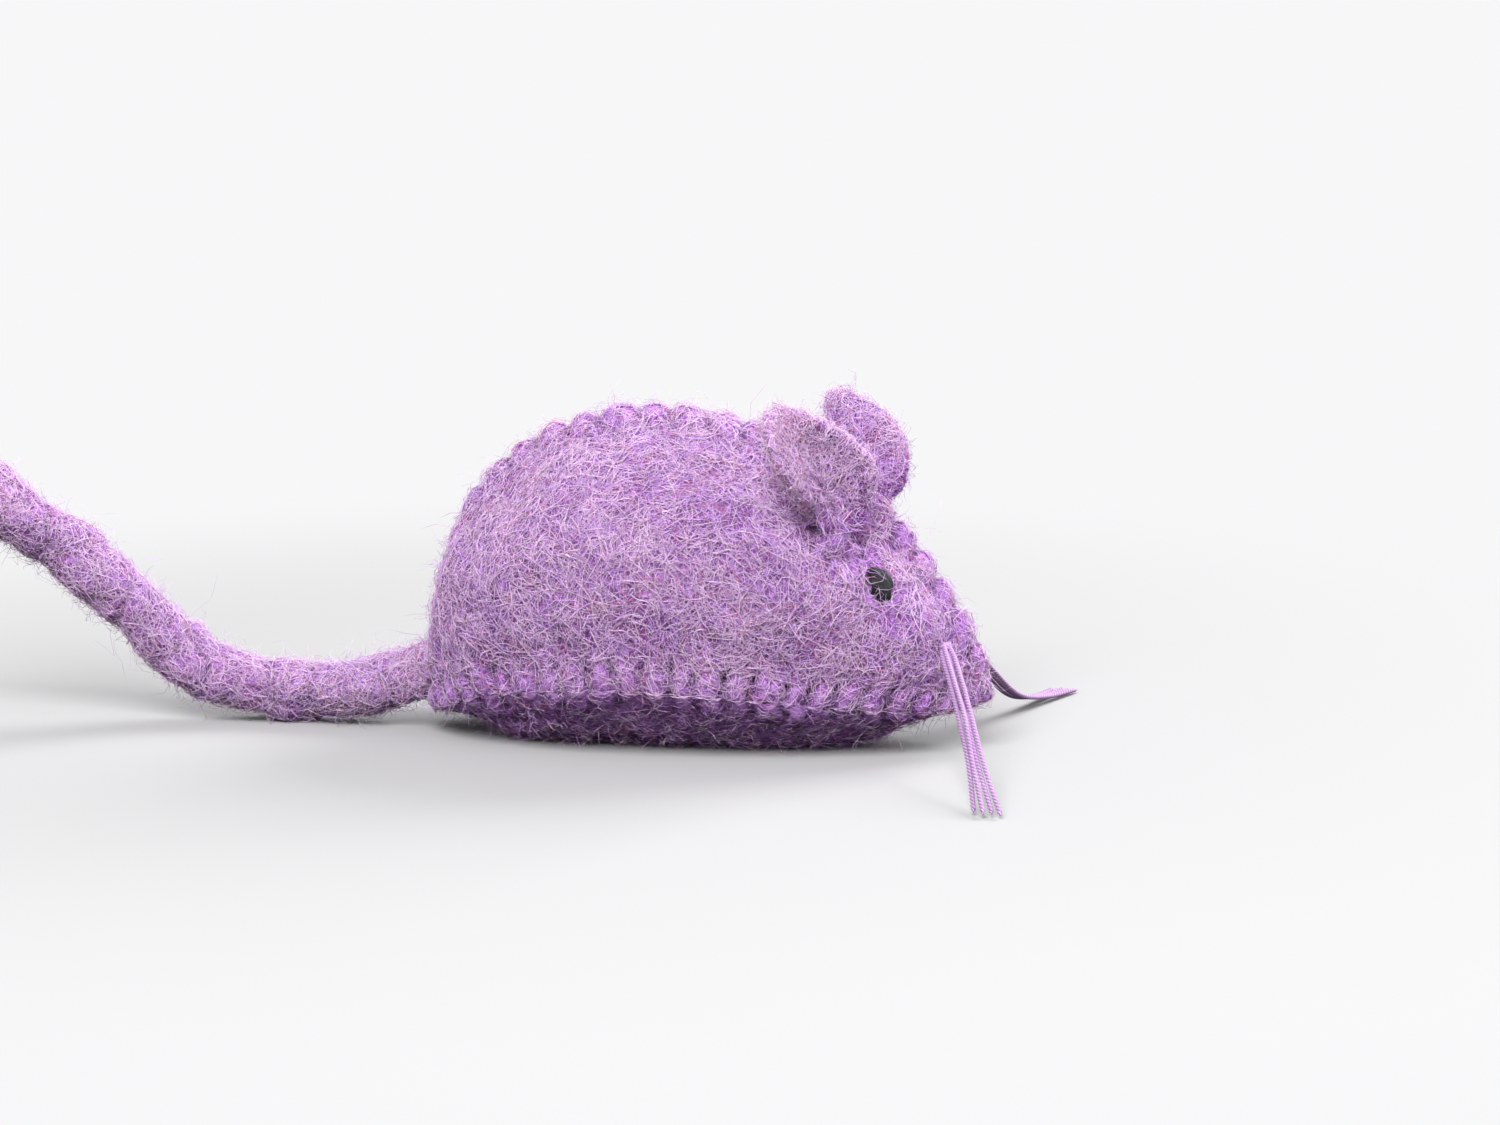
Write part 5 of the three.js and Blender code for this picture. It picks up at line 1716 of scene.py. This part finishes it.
# Filling: where each wad starts and ends from tail to nose, what it is named after, its material and its fill
FILLING = {
    "rear_stuffing": (0.225, 0.36, "wad", "fibre_wad", 0.6),
    "catnip_pouch": (0.37, 0.55, "cloth_bag", "catnip_pouch_cloth", 0.75),
    "front_stuffing": (0.56, 0.88, "wad", "fibre_wad", 0.6),
}
WAD_RINGS = 40
WAD_EDGE = 9.0  # how far a wad stays from the seams
WAD_INSET = FELT + 2 * GAP
MOST_EDGE = 0.43  # the same as a share of a narrow panel
WAD_DOME = 0.25


def filling_rings(start, end):
    """A wad's rings: the panels' faces drawn in by the felt, clear of the seams, domed at both ends and
    lumpy."""
    u = np.linspace(start, end, WAD_RINGS)
    strips = []
    for side in (0, 1, -1):
        if side:
            wide = np.linalg.norm(chord_of(u, side), axis=-1)
        else:
            wide = np.abs(2 * belly_edge(u, 1).inset()[:, 1])
        near = np.minimum(MOST_EDGE, WAD_EDGE / wide)[:, None]
        v = near + (1 - 2 * near) * np.linspace(0, 1, 17 if side else 9)
        points = side_surface(u, v, side) if side else belly_surface(u, v)
        strip = on_floor(points) - Felt(points, -side if side else -1).normals * WAD_INSET
        strips.append(strip[:, ::-1] if side < 0 else strip)
    rings = np.concatenate([*strips, strips[0][:, :1]], axis=1)[:, ::-1]
    centre = rings[:, :-1].mean(axis=1, keepdims=True)
    dome = 1 - np.abs(np.linspace(-1, 1, len(u))) ** 6 * WAD_DOME
    lump = 1 - 0.035 * (1 + lumps(rings, 9, 111)) - 0.01 * (1 + lumps(rings, 3, 112))
    return centre + (rings - centre) * (dome[:, None] * np.minimum(lump, 1))[..., None]


class MOUSE_OT_filling(bpy.types.Operator):
    """Make the two fibre wads and the catnip pouch between them"""

    bl_idname = "mouse.filling"
    bl_label = "Filling"

    def execute(self, context):
        for node, (start, end, kind, stuff, fill) in FILLING.items():
            piece = add_piece(f"{node}_{kind}", capped(filling_rings(start, end)), stuff, node)
        return {"FINISHED"}


# Stage, in metres
FLOOR_REACH = 20.0
LAMP_AIM = np.array([0, 0, 0.02])
LAMPS = {"key": (0.6, (-0.05, -0.72, 0.74)), "rim": (0.5, (0.45, 0.6, 0.55)), "fill": (0.5, (0.7, -0.3, 0.4))}


class MOUSE_OT_stage(bpy.types.Operator):
    """Set the floor, the studio light and the camera"""

    bl_idname = "mouse.stage"
    bl_label = "Stage and camera"

    def execute(self, context):
        scene = context.scene
        view = scene.mouse_view
        scene.view_settings.view_transform = "Standard"
        mesh = bpy.data.meshes.new("floor")
        corners = [(x * FLOOR_REACH, y * FLOOR_REACH, 0) for x, y in ((-1, -1), (1, -1), (1, 1), (-1, 1))]
        mesh.from_pydata(corners, [], [(0, 1, 2, 3)])
        mesh.materials.append(material("studio_floor"))
        floor = bpy.data.objects.new("floor", mesh)
        scene.collection.objects.link(floor)
        floor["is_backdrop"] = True
        for name, (size, place) in LAMPS.items():
            self.add_lamp(scene, name, getattr(view, name), size, place)
        self.set_world(scene, view.ambient, tuple(scene.mouse_colours.backdrop))
        self.add_camera(scene, view)
        return {"FINISHED"}

    def add_lamp(self, scene, name, power, size, place):
        """A square lamp that faces the toy."""
        light = bpy.data.lights.new(name, "AREA")
        light.energy = power
        light.size = size
        lamp = bpy.data.objects.new(name, light)
        lamp.location = place
        aim = LAMP_AIM - np.array(place)
        tilt = math.acos(-aim[2] / np.linalg.norm(aim))
        lamp.rotation_euler = (tilt, 0, math.atan2(aim[1], aim[0]) - math.pi / 2)
        scene.collection.objects.link(lamp)

    def set_world(self, scene, ambient, backdrop):
        """Even light from all round; the camera, mirrors and glass see the pale backdrop in its place."""
        shader = Shader(bpy.data.worlds.new("studio"))
        lit = shader.node("ShaderNodeBackground", None, {"Color": (1, 1, 1, 1), "Strength": ambient})
        pale = shader.node("ShaderNodeBackground", None, {"Color": (*backdrop, 1)})
        both = shader.node("ShaderNodeMixShader", None, {0: shader.seen(), 1: lit, 2: pale})
        scene.world = shader.end(both, "ShaderNodeOutputWorld")

    def add_camera(self, scene, view):
        """A camera round the toy at the photographed angle; heading and tilt aim it."""
        data = bpy.data.cameras.new("camera")
        data.lens = view.lens
        data.sensor_width = 36.0
        camera = bpy.data.objects.new("camera", data)
        level = math.cos(view.elevation) * view.distance
        camera.location = (
            math.sin(view.azimuth) * level,
            -math.cos(view.azimuth) * level,
            math.sin(view.elevation) * view.distance,
        )
        camera.rotation_euler = (math.pi / 2 - view.tilt, 0, view.heading)
        scene.collection.objects.link(camera)
        scene.camera = camera


class MOUSE_PT_panel(bpy.types.Panel):
    """The mouse's steps and settings"""

    bl_idname = "MOUSE_PT_panel"
    bl_label = "Felt Mouse"
    bl_space_type = "VIEW_3D"
    bl_region_type = "UI"
    bl_category = "Felt Mouse"

    def draw(self, context):
        for step in STEPS:
            self.layout.operator(step.bl_idname)
        for group in GROUPS:
            values = getattr(context.scene, group)
            for key in values.bl_rna.properties.keys():
                if key not in ("rna_type", "name"):
                    self.layout.prop(values, key)


STEPS = (
    MOUSE_OT_stage,
    MOUSE_OT_whiskers,
    MOUSE_OT_panels,
    MOUSE_OT_seams,
    MOUSE_OT_ears,
    MOUSE_OT_eyes,
    MOUSE_OT_tail,
    MOUSE_OT_filling,
)
GROUPS = {"mouse_colours": MouseColours, "mouse_felt": MouseFelt, "mouse_view": MouseView}


def register():
    for one in (*GROUPS.values(), *STEPS, MOUSE_PT_panel):
        bpy.utils.register_class(one)
    for key, group in GROUPS.items():
        setattr(bpy.types.Scene, key, PointerProperty(type=group))


def unregister():
    for key in GROUPS:
        delattr(bpy.types.Scene, key)
    for one in (MOUSE_PT_panel, *reversed(STEPS), *GROUPS.values()):
        bpy.utils.unregister_class(one)


def main():
    register()
    for step in STEPS:
        section, name = step.bl_idname.split(".")
        getattr(getattr(bpy.ops, section), name)()
    boxes = {"cad": CAD_BOX, "visual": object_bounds()}
    {key: [list(corner) for corner in box] for key, box in boxes.items()}


if __name__ == "__main__":
    main()
